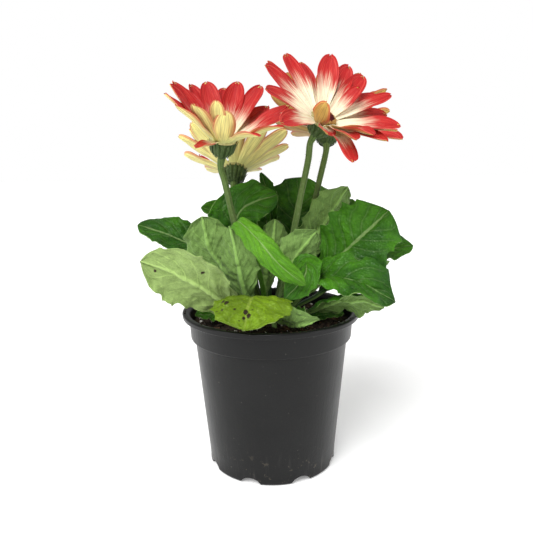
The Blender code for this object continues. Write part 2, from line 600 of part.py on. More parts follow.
def make_bracts(name, flower, collection, workshop):
    """The green cup under the head, with a row of pointed bracts on it."""
    top = -HEAD_THICK / 2 - FIT_GAP
    frame = head_frame(flower)
    tip_z = top - 0.8
    low_z = top - CUP_DEPTH + 2.0
    for k in range(BRACTS):
        bm = bmesh.new()
        for corner in ((2.4, -1.0, low_z), (2.4, 1.0, low_z), (HEAD_RADIUS - 1.4, -2.0, tip_z - 3.4),
                       (HEAD_RADIUS - 1.4, 2.0, tip_z - 3.4), (HEAD_RADIUS + 0.5, 0, tip_z),
                       (HEAD_RADIUS - 0.2, 0, tip_z - 3.8), (3.6, 0, low_z - 0.4)):
            bm.verts.new(corner)
        bmesh.ops.convex_hull(bm, input=bm.verts)
        bmesh.ops.recalc_face_normals(bm, faces=bm.faces)
        turn = Matrix.Rotation(2 * math.pi * k / BRACTS, 4, "Z")
        bmesh.ops.transform(bm, matrix=frame @ turn, verts=bm.verts)
        object_from(bm, f"{name}_bract_{k}", workshop)
    bm = bmesh.new()
    profile = [(SCAPE_RADIUS + 0.2, top - CUP_DEPTH), (SCAPE_RADIUS + 2.6, top - CUP_DEPTH + 2.2),
               (HEAD_RADIUS - 1.9, top - 4.4), (HEAD_RADIUS - 0.9, top)]
    rings = []
    for radius, z in profile:
        turns = [2 * math.pi * k / 14 for k in range(14)]
        rings.append([bm.verts.new((radius * math.cos(turn), radius * math.sin(turn), z)) for turn in turns])
    for low, high in zip(rings, rings[1:]):
        for k in range(14):
            bm.faces.new((low[k], low[(k + 1) % 14], high[(k + 1) % 14], high[k]))
    bm.faces.new(rings[0][::-1])
    bm.faces.new(rings[-1])
    bmesh.ops.transform(bm, matrix=frame, verts=bm.verts)
    cup = object_from(bm, f"bracts_{name}", collection, "bracts")
    join_collection(cup, workshop)
    return cup


def make_scape(name, flower, collection):
    """The flower's stalk, from its hole in the soil to just under the bract cup."""
    frame = head_frame(flower)
    depth = HEAD_THICK / 2 + FIT_GAP + CUP_DEPTH
    near = frame @ Vector((0, 0, -depth - FIT_GAP))
    lower = frame @ Vector((0, 0, -depth - 7.0))
    path = Path(standing(flower["stands"]) + [Vector(p) for p in flower["line"]] + [lower, near])
    curve = bpy.data.curves.new(f"scape_{name}", "CURVE")
    curve.dimensions = "3D"
    curve.bevel_depth = SCAPE_RADIUS * MM
    curve.bevel_resolution = 1
    curve.use_fill_caps = True
    spline = curve.splines.new("POLY")
    shares = [0.0, 0.08, 0.17, 0.27, 0.38, 0.49, 0.60, 0.71, 0.82, 0.91, 0.97, 1.0]
    spline.points.add(len(shares) - 1)
    for point, share in zip(spline.points, shares):
        point.co = (*(path.at(share)[0] * MM), 1.0)
    drawn = bpy.data.objects.new(f"scape_{name}_line", curve)
    collection.objects.link(drawn)
    bpy.context.view_layer.update()
    mesh = bpy.data.meshes.new_from_object(drawn.evaluated_get(bpy.context.evaluated_depsgraph_get()))
    bpy.data.objects.remove(drawn, do_unlink=True)
    bm = bmesh.new()
    bm.from_mesh(mesh)
    bpy.data.meshes.remove(mesh)
    bmesh.ops.scale(bm, vec=(1 / MM, 1 / MM, 1 / MM), verts=bm.verts)
    bmesh.ops.remove_doubles(bm, verts=bm.verts, dist=0.01)
    bmesh.ops.recalc_face_normals(bm, faces=bm.faces)
    return object_from(bm, f"scape_{name}", collection, "scape")


def main():
    """Build the plant and its pot."""
    clear_scene()
    plant = new_collection("potted_gerbera")
    drains = new_collection("drain_cutters")
    holes = new_collection("hole_cutters")
    workshop = new_collection("workshop")
    make_pot(plant, drains)
    make_soil(plant, holes)
    for name, leaf in LEAVES.items():
        make_leaf(name, leaf, plant)
    for name, flower in FLOWERS.items():
        make_scape(name, flower, plant)
        make_bracts(name, flower, plant, workshop)
        make_rays(name, flower, plant, workshop)
        make_disc(name, flower, plant)


main()
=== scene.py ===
"""The finish of a potted gerbera: pot, soil, leaves, flowers and the stage.

Sizes are in millimetres until a mesh is written, and the frame's in metres."""

import math
import random

import bpy
from mathutils import Matrix, Vector, noise


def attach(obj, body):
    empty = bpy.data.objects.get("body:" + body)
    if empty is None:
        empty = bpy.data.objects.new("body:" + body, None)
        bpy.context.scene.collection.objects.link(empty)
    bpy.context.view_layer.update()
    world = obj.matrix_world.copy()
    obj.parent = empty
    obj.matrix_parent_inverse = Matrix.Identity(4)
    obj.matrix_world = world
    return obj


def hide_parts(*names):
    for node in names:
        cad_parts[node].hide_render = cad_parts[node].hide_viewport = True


bl_info = {
    "name": "Potted gerbera",
    "version": (1, 0, 0),
    "blender": (4, 5, 0),
    "location": "View3D > Sidebar > Gerbera",
    "description": "Models and finishes a potted gerbera round its solid frame",
    "category": "Object",
}

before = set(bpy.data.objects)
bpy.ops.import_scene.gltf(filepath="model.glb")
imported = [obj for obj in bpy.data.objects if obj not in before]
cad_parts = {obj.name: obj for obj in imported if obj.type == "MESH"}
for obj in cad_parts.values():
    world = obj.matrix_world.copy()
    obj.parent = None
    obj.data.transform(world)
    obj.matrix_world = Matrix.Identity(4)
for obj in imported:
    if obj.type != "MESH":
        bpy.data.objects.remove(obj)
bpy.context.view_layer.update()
MM = 0.001

# Pot and soil, as the solids have them
POT_HEIGHT = 117.0
RIM_RADIUS = 65.0
COLLAR_RADIUS = 60.0
COLLAR_FOOT_Z = 97.5
WALL_TOP_RADIUS = 56.2
BASE_RADIUS = 46.5
POT_WALL = 1.2
POT_STEPS = 144
DRAIN_NOTCHES = 8
DRAIN_RADIUS = 9.0
DRAIN_RISE = 5.0
FIRST_DRAIN = 250.0
DRAIN_RING = 45.0
SOIL_TOP = 108.0
HOLE_DEPTH = 10.0

# Leaves
RIB_THICK = 2.2
STALK_WIDTH = 4.0
STALK_THICK = 3.0
STALK_SHARE = 0.18  # of the leaf's UV map and of its sections
LEAF_ALONG = 84
LEAF_ACROSS = 44
VEIN_PAIRS = 7.0
VEIN_SLOPE = 0.30
BLADE_EDGE_THICK = 0.55
FULL_RELIEF_HALF = 16.0  # a half width from which the relief has its full height
PUCKERS = ((1.6, 7, 2.6, 1.7), (1.0, 21, 7.0, 1.1), (0.35, 48, 17.0, 0.9))  # height, scales, seed's
LEAF_SEED = 300

# Flowers
HEAD_RADIUS = 9.5
HEAD_THICK = 2.4
ROOT_RADIUS = 7.8
PETAL_THICK = 0.42
PETAL_ALONG = 26
PETAL_ACROSS = 12
CUP_DEPTH = 11.0
BRACT_THICK = 0.3
FLORETS = 150
MAROON_FLORETS = 92
GOLDEN_ANGLE = 2.39996
SCAPE_RADIUS = 2.3
SCAPE_ALONG = 90
SCAPE_AROUND = 20

# A leaf: where its stalk stands on the crown (degrees round, mm out), the middle line of
# the leaf above the soil, the share of it that is bare stalk, the blade's half width, the
# way its upper side faces at the blade's foot and tip, how far each half folds up and
# rolls over at its edge (left, right, degrees), its lobes and its edge waves (mm).
LEAVES = {
    "leaf_left_back": dict(
        stands=(168, 15), line=((-22, 7, 128), (-48, 12, 156), (-76, 16, 170), (-99, 18, 178)),
        bare=0.30, half=19, up=((0.1, -0.5, 0.8), (0.15, -0.75, 0.7)), fold=(18, 12), roll=(8, -10),
        lobes=(3, 0.16), wave=1.6),
    "leaf_left_low": dict(
        stands=(202, 20), line=((-25, -22, 121), (-44, -38, 140), (-65, -47, 155), (-84, -48, 163)),
        bare=0.22, half=23, up=((0.1, 0.75, 0.6), (0.2, 0.95, 0.15)), fold=(4, 8), roll=(-6, -24),
        lobes=(3, 0.10), wave=1.0),
    "leaf_left_mid": dict(
        stands=(193, 11), line=((-20, -9, 128), (-31, -15, 148), (-42, -17, 164), (-47, -14, 187)),
        bare=0.34, half=21, up=((0.1, 0.9, 0.3), (0.1, 0.95, 0.1)), fold=(6, 8), roll=(4, 6),
        lobes=(2, 0.22), wave=1.8),
    "leaf_front_left": dict(
        stands=(238, 15), line=((-15, -24, 126), (-20, -33, 147), (-23, -35, 165), (-27, -29, 182)),
        bare=0.34, half=14, up=((0.2, 0.9, 0.3), (0.2, 0.9, 0.2)), fold=(4, 6), roll=(4, 6),
        lobes=(2, 0.12), wave=1.2),
    "leaf_front_rolled": dict(
        stands=(262, 9.5),
        line=((-12, -22, 168), (-22, -34, 186), (-10, -50, 178), (6, -57, 160), (22, -58, 147)),
        bare=0.42, half=10, up=((-0.3, -0.5, 0.8), (-0.5, -0.75, 0.3)), fold=(-14, -6), roll=(-30, -10),
        lobes=(3, 0.12), wave=1.0),
    "leaf_front_mid": dict(
        stands=(304, 10), line=((8, -14, 132), (13, -22, 150), (20, -25, 163), (32, -22, 177)),
        bare=0.42, half=16, up=((0.0, 0.9, 0.3), (-0.2, 0.9, 0.2)), fold=(8, 8), roll=(5, 10),
        lobes=(2, 0.14), wave=1.6),
    "leaf_front_right": dict(
        stands=(292, 16), line=((13, -26, 136), (23, -36, 156), (22, -45, 150), (9, -53, 137)),
        bare=0.42, half=11, up=((0.1, -0.3, 0.8), (0.3, -0.95, 0.1)), fold=(8, 14), roll=(10, -8),
        lobes=(3, 0.16), wave=1.2),
    "leaf_yellowing": dict(
        stands=(252, 21.5), line=((-11, -34, 126), (-12, -48, 137), (-15, -60, 133), (-17, -71, 122)),
        bare=0.36, half=27, up=((0.05, 0.15, 0.9), (0.0, -0.9, 0.35)), fold=(8, -6), roll=(-9, -9),
        lobes=(2, 0.12), wave=1.6),
    "leaf_small_front": dict(
        stands=(278, 22), line=((8, -35, 116), (14, -46, 117), (20, -54, 119), (31, -54, 124)),
        bare=0.26, half=14.5, up=((-0.2, 0.5, 0.9), (-0.5, 0.7, 0.6)), fold=(34, 40), roll=(20, 20),
        lobes=(1, 0.08), wave=1.0),
    "leaf_right_folded": dict(
        stands=(322, 15), line=((24, -22, 132), (40, -35, 146), (60, -43, 144), (82, -48, 133)),
        bare=0.30, half=21, up=((-0.22, 0.14, 0.96), (0.15, -0.2, 0.95)), fold=(58, 4), roll=(0, -12),
        lobes=(3, 0.16), wave=2.0),
    "leaf_right_low": dict(
        stands=(318, 21.5), line=((26, -22, 119), (43, -32, 129), (60, -41, 132), (75, -46, 129)),
        bare=0.30, half=15.5, up=((0.0, 0.55, 0.8), (0.2, 0.8, 0.55)), fold=(0, 0), roll=(-10, -28),
        lobes=(3, 0.14), wave=1.2),
    "leaf_right_big": dict(
        stands=(352, 10), line=((28, -4, 136), (49, -8, 156), (68, -11, 174), (84, -8, 189)),
        bare=0.42, half=29, up=((-0.3, -0.75, 0.6), (-0.25, -0.85, 0.45)), fold=(8, 6), roll=(10, -16),
        lobes=(3, 0.20), wave=2.4),
    "leaf_right_back": dict(
        stands=(8, 15.5), line=((28, 8, 128), (54, 13, 146), (82, 16, 155), (108, 16, 160)),
        bare=0.30, half=19, up=((-0.1, -0.5, 0.9), (-0.1, -0.5, 0.9)), fold=(14, 14), roll=(6, -6),
        lobes=(3, 0.16), wave=1.8),
    "leaf_right_upper": dict(
        stands=(28, 10), line=((18, 10, 140), (33, 13, 164), (45, 15, 184), (58, 16, 204)),
        bare=0.38, half=19, up=((-0.2, 0.9, 0.3), (-0.3, 0.9, 0.3)), fold=(12, 6), roll=(6, 6),
        lobes=(2, 0.16), wave=1.6),
    "leaf_back_tall": dict(
        stands=(76, 16), line=((10, 27, 140), (18, 39, 168), (25, 47, 192), (28, 55, 210)),
        bare=0.34, half=34, up=((-0.1, -0.9, 0.3), (0.0, -0.7, 0.7)), fold=(8, 10), roll=(10, 16),
        lobes=(3, 0.16), wave=2.4),
    "leaf_back_right": dict(
        stands=(46, 16.5), line=((24, 28, 132), (44, 38, 158), (57, 46, 178), (67, 54, 192)),
        bare=0.38, half=19, up=((-0.4, -0.8, 0.4), (-0.3, -0.7, 0.7)), fold=(10, 10), roll=(10, 10),
        lobes=(3, 0.16), wave=1.5),
    "leaf_upper_left": dict(
        stands=(140, 10), line=((-16, 12, 146), (-26, 8, 171), (-19, 6, 190), (6, 8, 200)),
        bare=0.42, half=20, up=((0.2, -0.6, 0.7), (0.0, -0.75, 0.6)), fold=(8, 8), roll=(8, -6),
        lobes=(2, 0.12), wave=1.6),
    "leaf_upper_left_back": dict(
        stands=(148, 16.5), line=((-17, 16, 138), (-25, 20, 166), (-35, 19, 184), (-50, 13, 191)),
        bare=0.38, half=15, up=((0.3, -0.6, 0.7), (0.2, -0.7, 0.7)), fold=(10, 10), roll=(8, 8),
        lobes=(3, 0.16), wave=1.8),
    "leaf_young_tall": dict(
        stands=(98, 10), line=((-1, 16, 150), (1, 21, 178), (-1, 24, 200), (-6, 25, 215)),
        bare=0.55, half=7, up=((0.2, -0.9, 0.3), (0.3, -0.9, 0.2)), fold=(24, 24), roll=(10, 10),
        lobes=(1, 0.05), wave=0.6),
    "leaf_inner": dict(
        stands=(222, 9.5), line=((-4, -6, 128), (-3, -4, 146), (2, -1, 166), (4, 4, 182)),
        bare=0.36, half=15, up=((0.1, 0.7, 0.4), (0.1, 0.8, 0.3)), fold=(16, 16), roll=(16, 10),
        lobes=(2, 0.12), wave=1.4),
    "leaf_sunk_left": dict(
        stands=(176, 21.5), line=((-30, -6, 112), (-38, -10, 114.5), (-46, -13, 116), (-54, -16, 117)),
        bare=0.34, half=9, up=((0.3, 0.05, 0.95), (0.2, -0.5, 0.9)), fold=(14, 10), roll=(0, 0),
        lobes=(2, 0.08), wave=0.6),
    "leaf_sunk_right": dict(
        stands=(340, 21.5), line=((28, -11, 112), (36, -13, 114.5), (44, -15, 116), (52, -17, 117)),
        bare=0.34, half=7, up=((-0.1, -0.3, 0.95), (-0.1, -0.5, 0.9)), fold=(14, 10), roll=(0, 0),
        lobes=(2, 0.08), wave=0.6),
    "leaf_behind_left": dict(
        stands=(128, 21.5), line=((-22, 30, 130), (-42, 46, 150), (-60, 58, 156), (-76, 68, 150)),
        bare=0.32, half=21, up=((0.1, -0.1, 0.95), (-0.4, 0.4, 0.85)), fold=(14, 14), roll=(-8, -8),
        lobes=(3, 0.16), wave=1.8),
    "leaf_behind": dict(
        stands=(92, 21.5), line=((-2, 36, 132), (-4, 56, 152), (-5, 74, 158), (-6, 92, 150)),
        bare=0.32, half=22, up=((0.0, -0.1, 0.95), (0.0, 0.5, 0.85)), fold=(12, 14), roll=(-8, -8),
        lobes=(3, 0.16), wave=1.8),
    "leaf_behind_right": dict(
        stands=(30, 22), line=((36, 14, 122), (60, 30, 138), (78, 42, 144), (94, 52, 138)),
        bare=0.32, half=20, up=((-0.1, -0.1, 0.95), (0.4, 0.4, 0.85)), fold=(14, 12), roll=(-8, -8),
        lobes=(3, 0.16), wave=1.8),
}

# A flower: where its stalk stands, the stalk's line, the middle of its head, the way the
# head faces, how far its petals lift from the head's plane, their length and half width.
# Petals that are placed one by one: degrees round the head, lift at mid length, length,
# half width, and how far they curl inwards (degrees, from root to tip).
FLOWERS = {
    "front_right": dict(
        stands=(350, 3.0), line=((8, -1, 135), (16, -1, 168), (22, 0, 197), (28, 1, 225)),
        head=(37, -12, 251), faces=(0.40, -0.52, 0.75), lift=24, length=48, half=7.4, seed=5,
        placed=(
            (93, 31, 47, 8.2, -6), (131, 20, 47, 7.6, -4), (145, 12, 48, 5.6, 8), (112, 14, 45, 6.4, -8),
            (74, 28, 47, 7.4, -6), (59, 27, 47, 7.2, -8), (42, 18, 47, 7.0, -6), (30, 28, 49, 5.0, -10),
            (26, 12, 47, 6.6, -8), (316, 36, 50, 7.4, -14), (305, 30, 49, 6.6, -14),
            (292, 34, 47, 6.4, -16), (281, 28, 44, 6.0, -18), (47, 50, 30, 5.0, 4),
            (285, 10, 45, 6.6, -34), (224, 10, 43, 7.4, -24), (242, 56, 29, 6.4, 60),
            (264, 20, 25, 6.0, -20), (166, 20, 46, 7.0, -8), (196, 18, 45, 7.2, -10),
            (336, 24, 48, 7.2, -12), (2, 20, 47, 7.2, -8),
        )),
    "behind_right": dict(
        stands=(66, 10.0), line=((16, 19, 140), (31, 23, 180), (39, 27, 212)),
        head=(46, 49, 245), faces=(0.10, 0.60, 0.79), lift=30, length=46, half=7.0, seed=11),
    "front_left": dict(
        stands=(180, 5.0), line=((-14, -4, 140), (-22, -7, 168), (-27, -9, 191), (-31, -12, 212)),
        head=(-31, -15, 239), faces=(0.12, -0.28, 0.92), lift=44, length=45, half=7.2, seed=3,
        placed=(
            (229, 38, 46, 5.8, -8), (140, 36, 45, 6.4, -6), (128, 36, 45, 6.6, -6),
            (112, 38, 46, 7.2, -4), (95, 34, 45, 6.6, -6), (82, 43, 46, 7.4, -4),
            (57, 43, 46, 7.0, -10), (48, 27, 40, 6.0, -10), (33, 20, 45, 6.0, -14),
            (323, 28, 45, 6.4, -16), (273, 60, 30, 7.4, 64), (259, 60, 36, 5.8, 16),
            (239, 46, 41, 5.8, -6), (249, 8, 34, 4.4, -10), (300, 24, 41, 6.4, -22),
            (158, 44, 45, 6.8, -8), (178, 48, 44, 7.0, -6), (202, 42, 45, 6.8, -10),
            (350, 34, 44, 6.8, -10), (12, 36, 44, 6.8, -8),
        )),
    "behind_left": dict(
        stands=(120, 16.0), line=((-13, 22, 140), (-18, 29, 165), (-24, 29, 190)),
        head=(-26, 38, 217), faces=(0.05, 0.60, 0.80), lift=29, length=42, half=7.0, seed=8),
}
OUTER_PETALS = 11
INNER_PETALS = 6

# The stage, in metres and degrees
PAPER_GLOW = 0.22
SUN_PLACE = (-0.36, -0.72, 1.02)
SUN_WIDTH = 38
CAMERA_PLACE = (-0.0027, -0.430, 0.234)
CAMERA_DOWN = 11.3
CAMERA_TURN = -0.8

# Dark marks on two leaves: the middle and radius of each, in mm
FADING_MARKS = (
    ((-31.6, -50.0, 136.0), 2.6), ((-31.0, -54.5, 136.0), 1.8), ((-28.5, -57.1, 136.0), 2.2),
    ((-31.5, -60.4, 132.3), 1.5), ((-16.1, -62.5, 131.3), 2.3), ((-14.2, -65.0, 129.6), 2.1),
    ((-17.3, -66.2, 128.5), 1.8), ((-23.2, -60.4, 132.8), 1.2), ((-12.3, -62.6, 133.2), 1.3),
    ((-20.5, -68.0, 127.0), 1.1), ((-26.5, -64.0, 131.0), 1.1))
UNDERSIDE_MARKS = (((-75.6, -46.0, 155.3), 1.3), ((-44.4, -45.1, 153.3), 1.7))


def colour_setting(name, description, start_value):
    """A colour in the sidebar."""
    return bpy.props.FloatVectorProperty(
        name=name, description=description, subtype="COLOR", size=3, default=start_value)


class GerberaPotSettings(bpy.types.PropertyGroup):
    """The pot and the soil in it."""

    plastic: colour_setting(
        "Plastic", "Colour of the pot", (0.007, 0.0072, 0.0072))
    peat: colour_setting(
        "Peat", "Colour of the moist soil", (0.013, 0.0085, 0.006))
    crumbs: bpy.props.IntProperty(
        name="Crumbs", description="Loose crumbs of peat on the soil", default=620, min=0, max=2000)
    lip_crumbs: bpy.props.IntProperty(
        name="Crumbs on the lip", description="Small crumbs left on the pot's lip",
        default=46, min=0, max=400)
    perlite: bpy.props.IntProperty(
        name="Perlite", description="White grains on the soil", default=150, min=0, max=400)
    chips: bpy.props.IntProperty(
        name="Chips", description="Bark chips on the soil", default=60, min=0, max=200)


class GerberaLeafSettings(bpy.types.PropertyGroup):
    """The leaves."""

    upper: colour_setting(
        "Upper side", "Deep green of the upper side", (0.015, 0.078, 0.004))
    upper_bright: colour_setting(
        "Upper side, bright", "Lighter green between the veins", (0.058, 0.215, 0.006))
    under: colour_setting(
        "Underside", "Pale green of the underside", (0.150, 0.265, 0.060))
    pale: colour_setting(
        "Pale underside", "Underside of the lowest leaf", (0.27, 0.39, 0.115))
    vein: colour_setting(
        "Veins", "Colour of the veins", (0.30, 0.44, 0.16))
    young: colour_setting(
        "Yellowing leaf", "Yellow green of a leaf that fades", (0.19, 0.33, 0.010))
    quilt: bpy.props.FloatProperty(
        name="Quilting", description="Height of the blade between its veins, in mm",
        default=1.3, min=0.0, max=3.0)


class GerberaFlowerSettings(bpy.types.PropertyGroup):
    """The flowers."""

    tip: colour_setting(
        "Petal tip", "Coral red of the petals", (0.50, 0.014, 0.013))
    base: colour_setting(
        "Petal base", "Cream of the petals' inner ends", (0.97, 0.92, 0.66))
    # partly the backs' own pale yellow, partly painted light: raised above it to stand in for light
    # shining through the thin petals
    back: colour_setting(
        "Petal back", "Pale yellow of the petals' backs", (0.98, 0.87, 0.30))
    ochre: colour_setting(
        "Petal back, ochre", "Deeper yellow of the right pair's backs", (0.62, 0.38, 0.07))
    stalk: colour_setting(
        "Stalk", "Grey green of the stalks", (0.058, 0.108, 0.020))
    bract: colour_setting(
        "Bracts", "Dark green of the cup", (0.026, 0.056, 0.014))
    hairs: bpy.props.IntProperty(
        name="Hairs", description="Fine hairs on each stalk", default=420, min=0, max=2000)


class GerberaStageSettings(bpy.types.PropertyGroup):
    """Floor, light and camera."""

    floor: colour_setting(
        "Floor", "Colour of the floor", (0.97, 0.97, 0.97))
    key_power: bpy.props.FloatProperty(
        name="Key light", description="Strength of the main light", default=2.8, min=0.0)
    fill_power: bpy.props.FloatProperty(
        name="Side lights", description="Power of each side light, in watts", default=1.5, min=0.0)
    sky: bpy.props.FloatProperty(
        name="Sky", description="Strength of the light from all round", default=0.46, min=0.0)
    focal: bpy.props.FloatProperty(
        name="Focal length", description="Focal length of the camera, in mm", default=40.5, min=10.0)


# Paths, frames and small helpers


def polar(degrees, radius, height):
    """A point round the pot's axis."""
    turn = math.radians(degrees)
    return Vector((radius * math.cos(turn), radius * math.sin(turn), height))


def smooth(value):
    """An eased step from 0 to 1."""
    value = min(max(value, 0.0), 1.0)
    return value * value * (3.0 - 2.0 * value)


def curve_point(points, share):
    """A point on the smooth curve through the points, share 0 to 1 by point count."""
    spans = len(points) - 1
    at = min(max(share, 0.0), 1.0) * spans
    k = min(int(at), spans - 1)
    t = at - k
    a, b = points[k], points[k + 1]
    span = (b - a).length
    leave = (b - (points[k - 1] if k else a)).normalized() * span
    reach = ((points[k + 2] if k + 2 <= spans else b) - a).normalized() * span
    return (
        a * (2 * t ** 3 - 3 * t ** 2 + 1)
        + leave * (t ** 3 - 2 * t ** 2 + t)
        + b * (3 * t ** 2 - 2 * t ** 3)
        + reach * (t ** 3 - t ** 2)
    )


class Path:
    """A smooth curve through points, read by its share of length."""

    SAMPLES = 160

    def __init__(self, points):
        self.dots = [curve_point(points, k / self.SAMPLES) for k in range(self.SAMPLES + 1)]
        self.run = [0.0]
        for a, b in zip(self.dots, self.dots[1:]):
            self.run.append(self.run[-1] + (b - a).length)
        self.length = self.run[-1]

    def at(self, share):
        """The point and direction at this share of the length."""
        want = min(max(share, 0.0), 1.0) * self.length
        k = 0
        while k < self.SAMPLES - 1 and self.run[k + 1] < want:
            k += 1
        step = self.run[k + 1] - self.run[k]
        part = (want - self.run[k]) / step if step else 0.0
        ahead = self.dots[min(k + 3, self.SAMPLES)] - self.dots[max(k - 2, 0)]
        return self.dots[k].lerp(self.dots[k + 1], part), ahead.normalized()


def standing(place):
    """The part of a stalk in the soil and just above it, which is upright."""
    return [polar(*place, SOIL_TOP + up) for up in (-HOLE_DEPTH, -HOLE_DEPTH / 2, 0.0, 5.0)]


def head_frame(flower):
    """The head's own frame: Z the way it faces, X to the viewer's right, Y away."""
    up = Vector(flower["faces"]).normalized()
    right = (Vector((1, 0, 0)) - up * up.x).normalized()
    turn = Matrix((right, up.cross(right), up)).transposed().to_4x4()
    return Matrix.Translation(Vector(flower["head"])) @ turn


# Modelling helpers


def start(name):
    """Name the primitive just added and leave it alone selected."""
    obj = bpy.context.active_object
    obj.name = name
    obj.data.name = name
    return obj


def nothing_selected():
    """Deselect everything, the solids of the frame among them."""
    bpy.ops.object.select_all(action="DESELECT")


def sheet_of_cells(name, along, across):
    """A flat sheet with a UV map, its X and Y from -1 to 1, ready to be shaped."""
    nothing_selected()
    bpy.ops.mesh.primitive_grid_add(x_subdivisions=along, y_subdivisions=across, size=2, calc_uvs=True)
    return start(name)


def select_only(*objects):
    """Select these objects, the first one active."""
    nothing_selected()
    for obj in objects:
        obj.select_set(True)
    bpy.context.view_layer.objects.active = objects[0]


def apply_all(obj):
    """Apply every modifier of an object, in order."""
    select_only(obj)
    for modifier in list(obj.modifiers):
        bpy.ops.object.modifier_apply(modifier=modifier.name)


def settle(obj):
    """Write an object's place, turn and scale into its mesh."""
    select_only(obj)
    bpy.ops.object.transform_apply(location=True, rotation=True, scale=True)
    return obj


def face_out(obj, merge=0.0):
    """Merge doubles where asked, and turn every face outwards."""
    select_only(obj)
    bpy.ops.object.mode_set(mode="EDIT")
    bpy.ops.mesh.select_all(action="SELECT")
    if merge:
        bpy.ops.mesh.remove_doubles(threshold=merge)
    bpy.ops.mesh.normals_make_consistent(inside=False)
    bpy.ops.object.mode_set(mode="OBJECT")


def soften(obj, degrees=50.0):
    """Smooth shading, with creases sharper than the angle kept."""
    select_only(obj)
    bpy.ops.object.shade_smooth_by_angle(angle=math.radians(degrees))


def joined(name, objects):
    """Join objects into one piece."""
    select_only(*objects)
    if len(objects) > 1:
        bpy.ops.object.join()
    return start(name)


def copy_of(source, matrix):
    """A copy with a mesh of its own, set in place."""
    made = source.copy()
    made.data = source.data.copy()
    made.matrix_world = matrix
    bpy.context.collection.objects.link(made)
    return made


def scattered(name, source, places):
    """Copies of a modelled source, one at each matrix, joined as one piece."""
    copies = [copy_of(source, place) for place in places]
    bpy.data.objects.remove(source, do_unlink=True)
    return settle(joined(name, copies))


def turned(name, profile, steps):
    """A turned solid: a ring is extruded and resized from point to point of a profile.

    The profile is (radius, height) in mm. It starts and ends near the axis."""
    nothing_selected()
    radius, height = profile[0]
    bpy.ops.mesh.primitive_circle_add(
        vertices=steps, radius=radius * MM, fill_type="NGON", location=(0, 0, height * MM))
    obj = settle(start(name))
    bpy.ops.object.mode_set(mode="EDIT")
    bpy.ops.mesh.select_mode(type="EDGE")
    bpy.ops.mesh.select_all(action="SELECT")
    bpy.ops.mesh.region_to_loop()
    for (r0, z0), (r1, z1) in zip(profile, profile[1:]):
        bpy.ops.mesh.extrude_edges_move(TRANSFORM_OT_translate={"value": (0, 0, (z1 - z0) * MM)})
        bpy.ops.transform.resize(value=(r1 / r0, r1 / r0, 1), center_override=(0, 0, z1 * MM))
    bpy.ops.mesh.edge_face_add()
    bpy.ops.object.mode_set(mode="OBJECT")
    face_out(obj)
    return obj


def arc(middle, radius, first, last, count):
    """Points of an arc in a profile, degrees from outwards towards up."""
    dots = []
    for k in range(count + 1):
        angle = math.radians(first + (last - first) * k / count)
        dots.append((middle[0] + radius * math.cos(angle), middle[1] + radius * math.sin(angle)))
    return dots


def thicken(obj, thick, offset, material_step=0, rim_step=0, group=""):
    """Give a sheet its thickness in mm, with other materials on its back and rim if asked."""
    shell = obj.modifiers.new("thickness", "SOLIDIFY")
    shell.thickness = thick * MM
    shell.offset = offset
    shell.vertex_group = group
    shell.material_offset = material_step
    shell.material_offset_rim = rim_step
    apply_all(obj)


def rows_of(obj, along):
    """A sheet's points by their row from one end to the other."""
    rows = {}
    for vert in obj.data.vertices:
        rows.setdefault(round((vert.co.x + 1) / 2 * along), []).append(vert)
    return rows


def coat(obj, name, build):
    """Give a piece a material, made on first use."""
    obj.data.materials.append(shaded(name, build))


def sized(x, y, z):
    """A matrix that scales."""
    return Matrix.Diagonal((x, y, z, 1))


def finish_piece(obj, slot, *nodes):
    """Hand a piece to the frame: hang it on the root body and hide the solids that it stands for. The
    slot is not used.
    """
    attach(obj, "root")
    if nodes:
        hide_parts(*nodes)
    return obj


# Materials: one node tree each, and groups for what several share


def add_node(tree, kind, place=(0, 0), **settings):
    """A node with its settings and the default values of its named inputs."""
    made = tree.nodes.new(kind)
    made.location = place
    for key, value in settings.items():
        if key in made.inputs:
            made.inputs[key].default_value = value
        else:
            setattr(made, key, value)
    return made


def wire(tree, source, output, target, socket):
    """Join one node's output to another's input."""
    tree.links.new(source.outputs[output], target.inputs[socket])


def feed(tree, value, target, socket):
    """Wire a (node, output) pair to an input, or set a plain value on it."""
    if isinstance(value, tuple):
        tree.links.new(value[0].outputs[value[1]], target.inputs[socket])
    else:
        target.inputs[socket].default_value = value


def sums(tree, operation, *values, clamp=False):
    """A Math node on numbers or on (node, output) pairs; returns its (node, output)."""
    made = add_node(tree, "ShaderNodeMath", operation=operation)
    made.use_clamp = clamp
    for k, value in enumerate(values):
        feed(tree, value, made, k)
    return made, 0


def times(tree, *values, clamp=False):
    """A product of numbers or (node, output) pairs."""
    return sums(tree, "MULTIPLY", *values, clamp=clamp)


def plus(tree, *values, clamp=False):
    """A sum of numbers or (node, output) pairs."""
    return sums(tree, "ADD", *values, clamp=clamp)


def minus(tree, *values):
    """A difference of numbers or (node, output) pairs."""
    return sums(tree, "SUBTRACT", *values)


def blend(tree, factor, first, second, mode="MIX"):
    """A colour mix of colours or (node, output) pairs; returns its (node, output)."""
    made = add_node(tree, "ShaderNodeMix", data_type="RGBA", blend_type=mode)
    for socket, value in ((0, factor), (6, first), (7, second)):
        if isinstance(value, tuple) and not isinstance(value[0], float):
            tree.links.new(value[0].outputs[value[1]], made.inputs[socket])
        elif socket:
            made.inputs[socket].default_value = (*value, 1.0)
        else:
            made.inputs[socket].default_value = value
    return made, 2


def tint(tree, colour, mask, share, other):
    """A colour with another laid over it where the mask is, up to a share."""
    return blend(tree, times(tree, mask, share), colour, other)


def steps(tree, value, low, high):
    """A smooth step of a value between two limits."""
    made = add_node(tree, "ShaderNodeMapRange", interpolation_type="SMOOTHSTEP")
    for label, given in (("Value", value), ("From Min", low), ("From Max", high)):
        feed(tree, given, made, label)
    return made, 0


